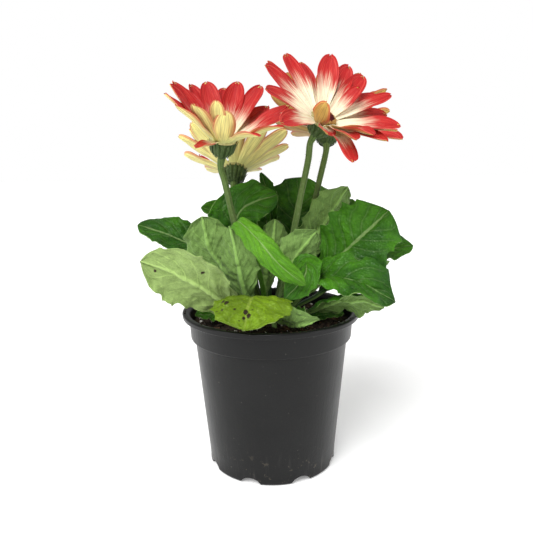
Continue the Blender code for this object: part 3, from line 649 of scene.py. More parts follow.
def stretched(tree, vector, scale):
    """A vector scaled per axis."""
    made = add_node(tree, "ShaderNodeMapping")
    made.inputs["Scale"].default_value = scale
    wire(tree, vector[0], vector[1], made, "Vector")
    return made, 0


def shared_group(name, inputs, outputs, fill):
    """A shader node group with named sockets, made once: fill wires its inside.

    Inputs are name to start value, and a value of None makes a vector socket."""
    found = bpy.data.node_groups.get(name)
    if found:
        return found
    tree = bpy.data.node_groups.new(name, "ShaderNodeTree")
    for label, value in inputs.items():
        kind = "NodeSocketVector" if value is None else "NodeSocketFloat"
        socket = tree.interface.new_socket(label, in_out="INPUT", socket_type=kind)
        if value is not None:
            socket.default_value = value
    for label in outputs:
        tree.interface.new_socket(label, in_out="OUTPUT", socket_type="NodeSocketFloat")
    made = fill(tree, tree.nodes.new("NodeGroupInput"))
    end = tree.nodes.new("NodeGroupOutput")
    for label, value in zip(outputs, made):
        feed(tree, value, end, label)
    return tree


def use_group(tree, group, **values):
    """Place a group in a material: numbers are set and (node, output) pairs are wired."""
    made = add_node(tree, "ShaderNodeGroup", node_tree=group)
    for label, value in values.items():
        feed(tree, value, made, label)
    return made


def fill_mottle(tree, given):
    """Soft clouds, and the mask that a smooth step cuts from them."""
    cloud = add_node(tree, "ShaderNodeTexNoise")
    for label in ("Vector", "Scale", "Detail", "Roughness"):
        wire(tree, given, label, cloud, label)
    return steps(tree, (cloud, 0), (given, "Low"), (given, "High")), (cloud, 0)


def mottle(tree, place, scale, low, high, detail=3.0, rough=0.55):
    """The mottle group on a vector; returns its mask and its clouds."""
    group = shared_group(
        "mottle",
        {"Vector": None, "Scale": 5.0, "Detail": 3.0, "Roughness": 0.55, "Low": 0.4, "High": 0.6},
        ("Mask", "Clouds"), fill_mottle)
    made = use_group(
        tree, group, Vector=place, Scale=scale, Detail=detail, Roughness=rough, Low=low, High=high)
    return (made, "Mask"), (made, "Clouds")


def fill_streaks(tree, given):
    """Fine lines along a petal or stalk, the way along it and the way out from its middle."""
    scale = add_node(tree, "ShaderNodeCombineXYZ", Z=1.0)
    wire(tree, given, "Along", scale, "X")
    wire(tree, given, "Across", scale, "Y")
    drawn = add_node(tree, "ShaderNodeVectorMath", operation="MULTIPLY")
    wire(tree, given, "UV", drawn, 0)
    wire(tree, scale, 0, drawn, 1)
    lines = add_node(tree, "ShaderNodeTexNoise", Scale=1.0, Detail=4.0, Roughness=0.6)
    wire(tree, drawn, 0, lines, "Vector")
    parts = add_node(tree, "ShaderNodeSeparateXYZ")
    wire(tree, given, "UV", parts, 0)
    edge = sums(tree, "ABSOLUTE", minus(tree, times(tree, (parts, 1), 2.0), 1.0))
    return (lines, 0), (parts, 0), edge


def streaks(tree, along, across):
    """The streaks group on the piece's UV map; returns its lines, way along and way out."""
    group = shared_group(
        "streaks", {"UV": None, "Along": 2.0, "Across": 26.0}, ("Lines", "Along", "Edge"), fill_streaks)
    made = use_group(tree, group, UV=uv_place(tree), Along=along, Across=across)
    return (made, "Lines"), (made, "Along"), (made, "Edge")


def fill_veins(tree, given):
    """Veins of a blade from its UV map: rib, side veins, hollows beside them and the net between."""
    parts = add_node(tree, "ShaderNodeSeparateXYZ")
    wire(tree, given, "UV", parts, 0)
    along = sums(tree, "DIVIDE", minus(tree, (parts, 0), STALK_SHARE), 1.0 - STALK_SHARE)
    signed = minus(tree, times(tree, (parts, 1), 2.0), 1.0)
    out_from_rib = sums(tree, "ABSOLUTE", signed)
    lean = times(tree, sums(tree, "POWER", out_from_rib, 0.9), (given, "Slope"))
    swing = plus(tree, times(tree, along, 11.0), times(tree, signed, 2.4))
    warp = times(tree, sums(tree, "SINE", swing), 0.22)
    phase = plus(tree, times(tree, minus(tree, along, lean), (given, "Pairs")), warp)
    phase = plus(tree, phase, times(tree, sums(tree, "GREATER_THAN", signed, 0.0), 0.42))
    near = sums(tree, "ABSOLUTE", minus(tree, times(tree, sums(
        tree, "FRACT", phase), 2.0), 1.0))
    thin = minus(tree, 1.0, times(tree, out_from_rib, 0.55))
    inside = steps(tree, minus(tree, 1.0, out_from_rib), 0.0, 0.25)
    on_blade = times(tree, inside, steps(tree, along, 0.0, 0.06))
    veins = times(tree, times(tree, steps(tree, near, 0.84, 0.97), thin), on_blade, clamp=True)
    hollows = times(tree, steps(tree, near, 0.35, 0.95), on_blade, clamp=True)
    rib = steps(tree, plus(tree, times(tree, out_from_rib, -1.0), 0.060), 0.0, 0.035)
    cells = add_node(tree, "ShaderNodeTexVoronoi", feature="DISTANCE_TO_EDGE", Scale=1.0)
    net_place = stretched(tree, (given, "UV"), (70.0, 26.0, 1.0))
    wire(tree, net_place[0], net_place[1], cells, "Vector")
    net = minus(tree, 1.0, steps(tree, (cells, 0), 0.0, 0.16))
    return veins, hollows, rib, net


def veins_on(tree):
    """The vein group on the piece's UV map."""
    group = shared_group(
        "leaf_veins", {"UV": None, "Pairs": VEIN_PAIRS, "Slope": VEIN_SLOPE},
        ("Veins", "Hollows", "Rib", "Net"), fill_veins)
    return use_group(tree, group, UV=uv_place(tree), Pairs=VEIN_PAIRS, Slope=VEIN_SLOPE)


def shaded(name, build):
    """A material made once: build fills its tree and gets the Principled shader."""
    found = bpy.data.materials.get(name)
    if found:
        return found
    made = bpy.data.materials.new(name)
    made.use_nodes = True
    build(made.node_tree, made.node_tree.nodes["Principled BSDF"])
    return made


def give(tree, shader, colour, rough, height=None, strength=0.3, distance=0.001, sheen=0.0, gloss=0.5):
    """Feed the Principled shader: colour, roughness, a bump from a height, down and gloss."""
    feed(tree, colour, shader, "Base Color")
    feed(tree, rough, shader, "Roughness")
    shader.inputs["Sheen Weight"].default_value = sheen
    shader.inputs["Specular IOR Level"].default_value = gloss
    if height:
        bump = add_node(tree, "ShaderNodeBump", Strength=strength, Distance=distance)
        feed(tree, height, bump, "Height")
        wire(tree, bump, 0, shader, "Normal")


def object_place(tree):
    """Object coordinates, in metres."""
    return add_node(tree, "ShaderNodeTexCoord"), "Object"


def uv_place(tree):
    """The piece's own UV map."""
    return add_node(tree, "ShaderNodeUVMap"), 0


def scaled(colour, share):
    """A colour made darker or lighter."""
    return tuple(min(share * a, 1.0) for a in colour[:3])


def blotches(tree, place, spots):
    """A mask of ragged round marks at (point in mm, radius in mm)."""
    ragged = times(tree, mottle(tree, place, 420.0, 0.2, 0.8)[0], 0.0011)
    mask = None
    for point, radius in spots:
        away = add_node(tree, "ShaderNodeVectorMath", operation="DISTANCE")
        wire(tree, place[0], place[1], away, 0)
        away.inputs[1].default_value = Vector(point) * MM
        near = minus(tree, radius * MM, plus(tree, (away, "Value"), ragged))
        near = steps(tree, near, -0.0003, 0.0003)
        mask = near if mask is None else sums(tree, "MAXIMUM", mask, near)
    return mask


def upper_leaf(deep, bright, vein, spots=(), flecks=0.0):
    """The upper side of a leaf: satin, quilted green with paler veins, and painted shade darkening the
    hollows beside them.
    """
    def build(tree, shader):
        place = object_place(tree)
        group = veins_on(tree)
        broad, _ = mottle(tree, place, 34.0, 0.34, 0.66, 2.0)
        fine, _ = mottle(tree, place, 260.0, 0.3, 0.7)
        colour = blend(tree, broad, deep, bright)
        colour = tint(tree, colour, fine, 0.25, bright)
        # painted shade: the hollows beside the veins are darkened to stand in for the shade of the
        # quilted blade
        colour = tint(tree, colour, (group, "Hollows"), 0.34, scaled(deep, 0.75))
        colour = tint(tree, colour, (group, "Net"), 0.25, scaled(deep, 0.7))
        colour = tint(tree, colour, (group, "Veins"), 0.16, vein)
        colour = tint(tree, colour, (group, "Rib"), 0.60, vein)
        if flecks:
            cells, _ = mottle(tree, place, 150.0, 0.62, 0.66, 4.0, 0.65)
            patch, _ = mottle(tree, place, 38.0, 0.52, 0.60, 1.0)
            marks = times(tree, times(tree, cells, patch), flecks)
            colour = blend(tree, marks, colour, (0.035, 0.018, 0.008))
        if spots:
            colour = blend(tree, blotches(tree, place, spots), colour, (0.022, 0.012, 0.006))
        rough = plus(tree, 0.36, times(tree, fine, 0.14))
        height = plus(tree, times(tree, (group, "Net"), -0.6), times(tree, (group, "Hollows"), -0.9))
        give(tree, shader, colour, rough, height, 0.8, 0.0008, gloss=0.24)
    return build


def under_leaf(under, vein, spots=()):
    """The underside of a leaf: dull, pale and downy, with raised veins and painted shade in the hollows
    beside them.
    """
    def build(tree, shader):
        place = object_place(tree)
        group = veins_on(tree)
        broad, _ = mottle(tree, place, 40.0, 0.3, 0.7, 2.0)
        fine, _ = mottle(tree, place, 520.0, 0.3, 0.7, 2.0)
        colour = blend(tree, broad, scaled(under, 0.78), under)
        colour = tint(tree, colour, fine, 0.22, scaled(under, 1.25))
        # painted shade: the hollows beside the veins are darkened
        colour = tint(tree, colour, (group, "Hollows"), 0.25, scaled(under, 0.72))
        colour = tint(tree, colour, (group, "Net"), 0.28, vein)
        colour = tint(tree, colour, (group, "Veins"), 0.70, vein)
        colour = tint(tree, colour, (group, "Rib"), 0.85, vein)
        if spots:
            colour = blend(tree, blotches(tree, place, spots), colour, (0.03, 0.016, 0.008))
        down = plus(tree, (group, "Veins"), times(tree, fine, 0.3))
        height = plus(tree, times(tree, (group, "Net"), 0.5), down)
        give(tree, shader, colour, 0.62, height, 0.6, 0.0005, sheen=0.10, gloss=0.25)
    return build


def petal_inside(tip, base, cream):
    """The inner face of a petal: cream at its root, up to a share of it, then coral red, finely lined."""
    def build(tree, shader):
        lines, along, edge = streaks(tree, 2.4, 19.0)
        threads, _, _ = streaks(tree, 1.6, 27.0)
        wander = times(tree, minus(tree, lines, 0.5), 0.75)
        reach = plus(tree, plus(tree, along, wander), times(tree, edge, 0.12))
        colour = blend(tree, steps(tree, reach, cream - 0.19, cream + 0.19), base, tip)
        pale = times(tree, steps(tree, threads, 0.50, 0.64), 0.50)
        colour = blend(tree, pale, colour, (0.80, 0.15, 0.11))
        dark = times(tree, steps(tree, threads, 0.52, 0.34), steps(tree, along, 0.30, 0.62))
        colour = tint(tree, colour, dark, 0.55, (0.30, 0.005, 0.010))
        relief = plus(tree, lines, threads)
        give(tree, shader, colour, 0.5, relief, 0.5, 0.0006, sheen=0.05, gloss=0.22)
    return build


def petal_back(back, edge_colour):
    """The outer face of a petal: pale yellow with fine veins, blushed at its edges."""
    def build(tree, shader):
        lines, along, edge = streaks(tree, 1.4, 17.0)
        colour = blend(tree, steps(tree, lines, 0.36, 0.62), back, scaled(back, 0.58))
        rim = steps(tree, plus(tree, edge, times(tree, lines, 0.7)), 0.92, 1.34)
        blush = times(tree, rim, steps(tree, along, 0.15, 0.75))
        colour = tint(tree, colour, blush, 0.75, edge_colour)
        root = minus(tree, 1.0, steps(tree, along, 0.0, 0.3))
        colour = tint(tree, colour, root, 0.45, (0.42, 0.50, 0.16))
        give(tree, shader, colour, 0.55, lines, 0.45, 0.0005, sheen=0.10)
    return build


def ribbed_green(colour_a, colour_b, ribs, rough=0.6):
    """A downy green stalk or bract with lengthwise ribs, by its UV map."""
    def build(tree, shader):
        lines, _, _ = streaks(tree, 3.0, ribs)
        down, soft = mottle(tree, object_place(tree), 420.0, 0.5, 0.75)
        colour = blend(tree, steps(tree, lines, 0.32, 0.68), colour_a, colour_b)
        colour = tint(tree, colour, down, 0.22, (0.30, 0.37, 0.19))
        relief = plus(tree, lines, soft)
        give(tree, shader, colour, rough, relief, 0.35, 0.0004, sheen=0.06, gloss=0.2)
    return build


def pot_plastic(colour):
    """Black moulded plastic: satin, finely drawn, scuffed and dusty near its foot."""
    def build(tree, shader):
        place = object_place(tree)
        parts = add_node(tree, "ShaderNodeSeparateXYZ")
        wire(tree, place[0], "Object", parts, 0)
        patches, cloud = mottle(tree, place, 26.0, 0.3, 0.75, 4.0, 0.6)
        drawn, lines = mottle(tree, stretched(tree, place, (1.0, 1.0, 0.08)), 210.0, 0.55, 0.72)
        _, fine = mottle(tree, place, 900.0, 0.3, 0.7, 2.0)
        tone = blend(tree, patches, scaled(colour, 0.66), colour)
        foot = minus(tree, 1.0, steps(tree, (parts, 2), 0.002, 0.030))
        scuffs = times(tree, times(tree, foot, drawn), 0.60)
        grit, _ = mottle(tree, place, 210.0, 0.60, 0.66, 4.0, 0.7)
        dust = times(tree, times(tree, foot, grit), 0.50)
        specks, _ = mottle(tree, place, 420.0, 0.72, 0.77, 2.0)
        tone = blend(tree, scuffs, tone, (0.055, 0.052, 0.048))
        tone = blend(tree, dust, tone, (0.15, 0.125, 0.09))
        tone = tint(tree, tone, specks, 0.45, (0.12, 0.11, 0.095))
        rough = plus(tree, 0.22, times(tree, cloud, 0.24))
        rough = plus(tree, rough, times(tree, dust, 0.5), clamp=True)
        height = plus(tree, times(tree, lines, 0.7), times(tree, fine, 0.4))
        height = plus(tree, height, times(tree, cloud, 2.2))
        give(tree, shader, tone, rough, height, 0.20, 0.0008, gloss=0.24)
    return build


def crumbly(colour, light, scale=240.0, rough=0.95):
    """Soil, bark, perlite, florets or a head's plate: broken colour and a rough surface."""
    def build(tree, shader):
        mask, cloud = mottle(tree, object_place(tree), scale, 0.35, 0.75, 5.0, 0.7)
        give(tree, shader, blend(tree, mask, colour, light), rough, cloud, 0.9, 0.0012, gloss=0.25)
    return build


def studio_paper(colour):
    """The floor's white paper, faintly clouded, with a weak glow that keeps the shadow pale."""
    def build(tree, shader):
        mask, _ = mottle(tree, object_place(tree), 9.0, 0.3, 0.7)
        give(tree, shader, blend(tree, mask, colour, scaled(colour, 0.99)), 0.9)
        shader.inputs["Emission Color"].default_value = (1.0, 1.0, 1.0, 1.0)
        shader.inputs["Emission Strength"].default_value = PAPER_GLOW
    return build


# Pot


def pot_profile():
    """The pot's outline from its floor's middle, up inside, over the lip and down again."""
    r, h, c = RIM_RADIUS, POT_HEIGHT, COLLAR_RADIUS
    dots = [(1.0, 1.4), (30.2, 1.4)]
    dots += arc((30.6, 2.4), 1.0, -90, 0, 3)
    dots += [(32.2, 3.3), (32.6, 3.4), (43.2, 3.4)]
    dots += arc((43.9, 5.4), 2.0, -90, -8, 4)
    dots += [(WALL_TOP_RADIUS - POT_WALL - 0.2, COLLAR_FOOT_Z - 1.6)]
    dots += arc((WALL_TOP_RADIUS + 1.2, COLLAR_FOOT_Z - 1.8), 2.6, 172, 96, 4)
    dots += arc((c - 3.1, COLLAR_FOOT_Z + 2.2), 1.5, -62, -4, 4)
    dots += [(c - 1.1, h - 5.0)]
    dots += arc((c + 2.9, h - 4.0), 4.0, 172, 96, 7)
    dots += [(r - 1.7, h)]
    dots += arc((r - 1.3, h - 1.3), 1.3, 84, -10, 7)
    dots += [(r - 0.3, h - 3.2)]
    dots += arc((r - 0.9, h - 3.5), 0.6, -6, -96, 4)
    dots += [(c + 1.5, h - 4.25)]
    dots += arc((c + 1.5, h - 5.45), 1.2, 96, 176, 4)
    dots += [(c - 0.15, h - 9.0), (c - 0.75, COLLAR_FOOT_Z + 1.2)]
    dots += arc((c - 1.6, COLLAR_FOOT_Z + 0.8), 0.8, 0, -88, 4)
    dots += [(WALL_TOP_RADIUS + 1.0, COLLAR_FOOT_Z - 0.02)]
    dots += arc((WALL_TOP_RADIUS + 0.8, COLLAR_FOOT_Z - 0.8), 0.8, 96, 176, 4)
    for share in (0.12, 0.35, 0.65, 0.93):
        z = COLLAR_FOOT_Z - 2.0 + (5.0 - COLLAR_FOOT_Z + 2.0) * share
        widening = (WALL_TOP_RADIUS - BASE_RADIUS - 0.8) * (z - 5.0) / (COLLAR_FOOT_Z - 5.4)
        dots.append((BASE_RADIUS + 0.8 + widening, z))
    dots += arc((BASE_RADIUS - 1.2, 2.2), 2.2, 20, -84, 6)
    dots += [(42.8, 0.0), (42.0, 0.5), (41.6, 1.9), (32.0, 1.9), (31.2, 0.4), (30.6, 0.0), (1.0, 0.0)]
    return dots


def drain_notches(pot):
    """Arched notches through the foot ring."""
    cutters = []
    for k in range(DRAIN_NOTCHES):
        turn = math.radians(FIRST_DRAIN + 360.0 * k / DRAIN_NOTCHES)
        nothing_selected()
        bpy.ops.mesh.primitive_cylinder_add(
            vertices=48, radius=DRAIN_RADIUS * MM, depth=11.0 * MM,
            location=polar(math.degrees(turn), DRAIN_RING, DRAIN_RISE - DRAIN_RADIUS) * MM,
            rotation=(0, math.pi / 2, turn))
        cutters.append(start(f"drain_{k}"))
    tool = settle(joined("drains", cutters))
    cut = pot.modifiers.new("drains", "BOOLEAN")
    cut.operation = "DIFFERENCE"
    cut.object = tool
    cut.solver = "EXACT"
    apply_all(pot)
    bpy.data.objects.remove(tool, do_unlink=True)


def soil_height(x, y):
    """The soil's surface over the pot, in mm: heaped in the middle, clotted all over."""
    reach = math.hypot(x, y)
    place = Vector((x * MM, y * MM, 0.0))
    broad = 1.6 * noise.noise(place * 90.0) + 1.8 * max(1 - reach / 40.0, 0)
    clods = 1.5 * noise.noise(place * 260.0) + 0.9 * noise.noise(place * 620.0 + Vector((3, 5, 0)))
    grit = 0.45 * noise.noise(place * 1500.0)
    rim = 1.2 * smooth((reach - 50.0) / 8.0)
    return SOIL_TOP + broad + 0.8 * clods + grit - rim


def soil_sheet():
    """The soil's top as a round sheet, its edge run down along the pot's wall and closed."""
    soil = sheet_of_cells("soil_bed", 190, 190)
    edge = COLLAR_RADIUS - 1.7 - 0.4
    for vert in soil.data.vertices:
        x = vert.co.x * math.sqrt(1 - vert.co.y ** 2 / 2) * edge
        y = vert.co.y * math.sqrt(1 - vert.co.x ** 2 / 2) * edge
        vert.co = Vector((x, y, soil_height(x, y))) * MM
    select_only(soil)
    bpy.ops.object.mode_set(mode="EDIT")
    bpy.ops.mesh.select_mode(type="EDGE")
    bpy.ops.mesh.select_all(action="SELECT")
    bpy.ops.mesh.region_to_loop()
    level = (COLLAR_FOOT_Z + 1.6) * MM
    radius = edge
    bpy.ops.mesh.extrude_edges_move()
    bpy.ops.transform.resize(value=(1, 1, 0), center_override=(0, 0, level))
    wall = WALL_TOP_RADIUS - POT_WALL - 0.4
    for next_radius, height in ((wall, COLLAR_FOOT_Z - 1.2), (BASE_RADIUS - 1.0, 7.4), (43.0, 3.8)):
        bpy.ops.mesh.extrude_edges_move(TRANSFORM_OT_translate={"value": (0, 0, height * MM - level)})
        level = height * MM
        bpy.ops.transform.resize(value=(next_radius / radius,) * 2 + (1,), center_override=(0, 0, level))
        radius = next_radius
    bpy.ops.mesh.edge_face_add()
    bpy.ops.object.mode_set(mode="OBJECT")
    face_out(soil)
    return soil


def broken_stone(name, seed, flat=0.75):
    """A small angular grain, 2 mm across: a ball of few faces, knocked about."""
    nothing_selected()
    bpy.ops.mesh.primitive_ico_sphere_add(subdivisions=1, radius=MM)
    grain_piece = start(name)
    draw = random.Random(seed)
    for vert in grain_piece.data.vertices:
        vert.co *= draw.uniform(0.66, 1.2)
        vert.co.z *= flat
    return grain_piece


def bark_chip(name, seed):
    """A chip of bark, 2 mm long and thinner than wide."""
    nothing_selected()
    bpy.ops.mesh.primitive_cube_add(size=2 * MM)
    chip = start(name)
    bpy.ops.object.mode_set(mode="EDIT")
    bpy.ops.mesh.subdivide(number_cuts=2)
    bpy.ops.object.mode_set(mode="OBJECT")
    draw = random.Random(seed)
    for vert in chip.data.vertices:
        vert.co.x *= 1.0 + 0.3 * draw.random()
        vert.co.y *= 0.5 + 0.2 * draw.random()
        vert.co.z = vert.co.z * 0.2 + 0.25 * MM * draw.uniform(-1, 1)
    return chip


def on_lip(draw, count):
    """Matrices for crumbs left on the pot's lip when it was filled."""
    places = []
    for _ in range(count):
        size = draw.uniform(0.35, 0.8)
        spot = polar(draw.uniform(0, 360), RIM_RADIUS - draw.uniform(1.5, 2.4), POT_HEIGHT + 0.3 * size)
        spin = Matrix.Rotation(draw.uniform(0, 6.28), 4, "Z")
        places.append(Matrix.Translation(spot * MM) @ spin @ sized(size, size, size))
    return places


def strewn(draw, count, low, high, bed, sink):
    """Matrices for grains lying on the soil, sized between low and high."""
    places = []
    for _ in range(count):
        reach = bed * math.sqrt(draw.random())
        turn = draw.uniform(0, 2 * math.pi)
        x, y = reach * math.cos(turn), reach * math.sin(turn)
        size = low + (high - low) * draw.random() ** 2.2
        spin = Matrix.Rotation(draw.uniform(0, 6.28), 4, "Z")
        spin = spin @ Matrix.Rotation(draw.uniform(-0.6, 0.6), 4, "X")
        place = Matrix.Translation(Vector((x, y, soil_height(x, y) + size * sink)) * MM)
        places.append(place @ spin @ sized(size, size, size))
    return places


# Leaves


def half_section(fold, roll, count):
    """Across one half of a leaf, from its rib: (across, up, angle) at every step."""
    dots = [(0.0, 0.0, math.radians(fold))]
    x = n = 0.0
    for k in range(1, count + 1):
        middle = (k - 0.5) / count
        angle = math.radians(fold + 3 * roll * middle * middle)
        x += math.cos(angle) / count
        n += math.sin(angle) / count
        reach = k / count
        dots.append((x, n, math.radians(fold + 3 * roll * reach * reach)))
    return dots


def blade_width(t, half, lobes, side):
    """The blade's half width at share t from its foot to its tip, with its lobes."""
    count, depth = lobes
    outline = max(math.sin(math.pi * t ** 1.35), 0.0) ** 0.62
    notch = 0.5 - 0.5 * math.cos(2 * math.pi * (count * t + 0.25 * side))
    return half * outline * (1.0 - depth * notch * (1.25 - t))


def near_vein(t, across):
    """How near a point of the blade is to a side vein, 1 on it: the same waves as in the shader."""
    reach = abs(across)
    warp = 0.22 * math.sin(11.0 * t + 2.4 * across)
    phase = VEIN_PAIRS * (t - VEIN_SLOPE * reach ** 0.9) + warp + (0.42 if across > 0 else 0.0)
    return abs(2.0 * (phase - math.floor(phase)) - 1.0)


def ragged_edge(t, reach, side, seed, shift):
    """How far the blade runs out at its edge, as a share of its width: uneven and toothed."""
    uneven = noise.noise(Vector((6.5 * t, 3.0 * side, seed * 2.3)))
    point = 1 - abs(math.sin(19 * t + shift + 2.0 * uneven))
    return 1 + (0.14 * uneven + 0.15 * (point ** 2 - 0.35)) * reach ** 3 * smooth(t * 6)


def edge_wave(t, v, side, wave, broad, fade, seed, shift):
    """The long waves and short ruffles of a blade, strongest at its edge, in mm."""
    long_wave = wave * v * v * math.sin(2 * math.pi * (2.6 * t + 0.37 * side)) * fade
    ruffle = noise.noise(Vector((7.5 * t, 2.2 * v, seed * 3.1))) + 0.5 * math.sin(39 * t + shift)
    return long_wave + 2.4 * fade * abs(v) ** 3 * ruffle * broad


def blade_swell(t, v, hollow, broad, quilt, seed):
    """How far the blade stands up between its veins, with its puckers, in mm."""
    reach = abs(v)
    swell = quilt * (1 - hollow ** 3) * (1 - reach ** 4) * smooth(reach / 0.16) * smooth(t * 8)
    swell *= broad * (1 - 0.5 * t)
    for height, along, across, shift in PUCKERS:
        pucker = noise.noise(Vector((along * t, across * v, seed * shift)))
        swell += height * pucker * smooth(t * 6) * broad
    return swell


def leaf_thickness(t, fade, from_rib, hollow):
    """A leaf's thickness in mm: a round rib or stalk, a thin blade and raised side veins."""
    rib = (STALK_THICK + (RIB_THICK - STALK_THICK) * fade) * (1 - 0.6 * t)
    q = from_rib / max(2.2 * (1 - 0.7 * t), 0.7)
    round_rib = (rib - BLADE_EDGE_THICK) * math.sqrt(max(1 - q * q, 0.0))
    return BLADE_EDGE_THICK + round_rib + 0.22 * fade * (hollow > 0.86)


def leaf_piece(name, leaf, quilt, seed, finish):
    """One leaf with its stalk: a sheet shaped along its line, then given its thickness."""
    obj = sheet_of_cells(name, LEAF_ALONG, LEAF_ACROSS)
    for side in finish:
        obj.data.materials.append(side)
    path = Path(standing(leaf["stands"]) + [Vector(p) for p in leaf["line"]])
    bare = leaf["bare"]
    first, last = (Vector(u) for u in leaf["up"])
    thick_group = obj.vertex_groups.new(name="thickness")
    halves = LEAF_ACROSS // 2
    draw = random.Random(seed)
    shifts = [draw.uniform(0, 6.28) for _ in range(4)]
    rows = rows_of(obj, LEAF_ALONG)
    for row, verts in rows.items():
        u = row / LEAF_ALONG
        t = max((u - STALK_SHARE) / (1 - STALK_SHARE), 0.0)
        share = bare * u / STALK_SHARE if u < STALK_SHARE else bare + (1 - bare) * t
        middle, ahead = path.at(share)
        want = first.lerp(last, t)
        up = (want - ahead * want.dot(ahead)).normalized()
        right = ahead.cross(up)
        fade = min(t * 5.0, 1.0)
        bend = min(fade, (1 - t) * 4.0)
        sides = [half_section(leaf["fold"][k] * bend, leaf["roll"][k] * bend, halves) for k in (0, 1)]
        stalk_half = STALK_WIDTH / 2 * (1 - 0.75 * t)
        for vert in verts:
            v = -vert.co.y
            side = 0 if v < 0 else 1
            sign = -1.0 if v < 0 else 1.0
            reach = abs(v)
            x, n, angle = sides[side][min(round(reach * halves), halves)]
            wide = blade_width(t, leaf["half"], leaf["lobes"], side)
            if wide > stalk_half:
                wide *= ragged_edge(t, reach, side, seed, shifts[side])
            wide = max(wide, stalk_half)
            broad = min(wide / FULL_RELIEF_HALF, 1.0)
            wave = edge_wave(t, v, side, leaf["wave"], broad, fade, seed, shifts[side])
            hollow = near_vein(t, v)
            swell = blade_swell(t, v, hollow, broad, quilt, seed)
            channel = -0.55 * math.exp(-(reach * wide / 1.1) ** 2) * fade
            crown = 0.5 * math.sqrt(max(1 - v * v, 0.0)) * (1 - fade)
            lift = (STALK_THICK / 2 - 0.4) * (1 - fade)
            facing = right * (-sign * math.sin(angle)) + up * math.cos(angle)
            place = middle + right * (sign * x * wide) + up * (n * wide + wave + lift)
            vert.co = (place + facing * (0.35 + swell + channel + crown)) * MM
            thick = leaf_thickness(t, fade, reach * wide, hollow)
            thick_group.add([vert.index], thick / STALK_THICK, "REPLACE")
    thicken(obj, STALK_THICK, -1.0, 1, 1, "thickness")
    obj.vertex_groups.clear()
    select_only(obj)
    bpy.ops.object.shade_smooth()
    return obj


# Flowers


def petal_set(flower):
    """Every ray petal as (degrees round, lift, length, half width, curl, dish, twist)."""
    draw = random.Random(flower["seed"])
    places = list(flower.get("placed", ()))
    if not places:
        for ring, count in enumerate((OUTER_PETALS, INNER_PETALS)):
            for k in range(count):
                turn = 360.0 * (k + 0.5 * ring) / count + draw.uniform(-6, 6)
                away = 10 * math.sin(math.radians(turn))
                lift = flower["lift"] + away + 10 * ring + draw.uniform(-6, 6)
                length = flower["length"] * (1.0 - 0.06 * ring) * draw.uniform(0.94, 1.04)
                half = flower["half"] * draw.uniform(0.86, 1.05)
                places.append((turn, lift, length, half, draw.uniform(-16, 6)))
    return [place + (draw.uniform(0.15, 0.4), draw.uniform(-12, 12)) for place in places]


def petal_width(t):
    """A ray petal's width at share t of its length: narrow root, broad above, tapered tip."""
    grown = 0.42 + 0.58 * smooth(t / 0.62)
    if t < 0.62:
        return grown
    return max(1 - ((t - 0.62) / 0.38) ** 2.1, 0.0) ** 0.62 * 0.9 + 0.1


def petal_piece(name, petal, frame_of_head, lift_up, seed, finish):
    """One ray petal, grooved along, with a notched tip, set on its head."""
    turn, lift, length, half, curl, dish, twist = petal
    obj = sheet_of_cells(name, PETAL_ALONG, PETAL_ACROSS)
    for side in finish:
        obj.data.materials.append(side)
    draw = random.Random(seed)
    shift = draw.uniform(0, 6.28)
    lean = draw.uniform(-0.5, 0.5)
    rows = rows_of(obj, PETAL_ALONG)
    x = z = 0.0
    for row in range(PETAL_ALONG + 1):
        t = row / PETAL_ALONG
        angle = math.radians(lift + curl * (t - 0.5))
        ahead = Vector((math.cos(angle), 0, math.sin(angle)))
        if row:
            x += ahead.x * length / PETAL_ALONG
            z += ahead.z * length / PETAL_ALONG
        level = Vector((-math.sin(angle), 0, math.cos(angle)))
        roll = math.radians(twist * t)
        side = Vector((0, -math.cos(roll), 0)) + level * math.sin(roll)
        up = side.cross(ahead)
        w = petal_width(t)
        for vert in rows[row]:
            v = -vert.co.y
            notch = 1.7 * (0.5 + 0.5 * math.cos(3 * math.pi * v + lean)) * smooth((t - 0.86) / 0.14)
            groove = 0.22 * math.cos(4 * math.pi * v) * smooth(t * 4)
            frill = 0.8 * abs(v) ** 3 * math.sin(9.0 * t + shift * (1 if v > 0 else 2)) * smooth(t * 2)
            frill += 0.5 * noise.noise(Vector((5.0 * t, 1.6 * v, seed * 0.37))) * smooth(t * 3)
            place = Vector((x, 0, z)) + side * (v * half * w) - ahead * notch
            vert.co = (place + up * (dish * half * (v * v - 0.5) * w + groove + frill)) * MM
    root = Matrix.Rotation(math.radians(turn), 4, "Z") @ Matrix.Translation((ROOT_RADIUS, 0, lift_up))
    set_frame = frame_of_head @ root
    set_frame.translation = set_frame.translation * MM
    obj.matrix_world = set_frame
    thicken(obj, PETAL_THICK, 0.0, 1)
    return settle(obj)


def placed(frame_of_head, *steps_on):
    """A matrix in metres from the head's frame in mm and further steps on it."""
    made = frame_of_head.copy()
    for step in steps_on:
        made = made @ step
    made.translation = made.translation * MM
    return made


def rays_piece(name, flower, finish):
    """All ray petals of one head on the plate that they grow from."""
    head = head_frame(flower)
    petals = []
    for k, petal in enumerate(petal_set(flower)):
        seed = flower["seed"] * 100 + k
        petals.append(petal_piece(f"petal_{name}_{k}", petal, head, 0.15 * (k % 4), seed, finish))
    nothing_selected()
    bpy.ops.mesh.primitive_cone_add(
        vertices=48, radius1=(HEAD_RADIUS - 0.6) * MM, radius2=HEAD_RADIUS * MM, depth=HEAD_THICK * MM)
    plate = start(f"plate_{name}")
    plate.matrix_world = placed(head)
    settle(plate)
    coat(plate, "plate_green", crumbly((0.42, 0.38, 0.14), (0.66, 0.60, 0.28), 500.0, 0.7))
    rays = joined(f"rays_{name}", petals + [plate])
    bpy.ops.object.shade_smooth_by_angle(angle=math.radians(50))
    return rays


def disc_floret():
    """One floret of the disc: a slim tube that opens into a bud, 1 mm across and 2 mm tall."""
    return turned(
        "floret", [(0.02, 0.0), (0.30, 0.1), (0.26, 1.1), (0.50, 1.6), (0.42, 2.05), (0.03, 1.8)], 7)


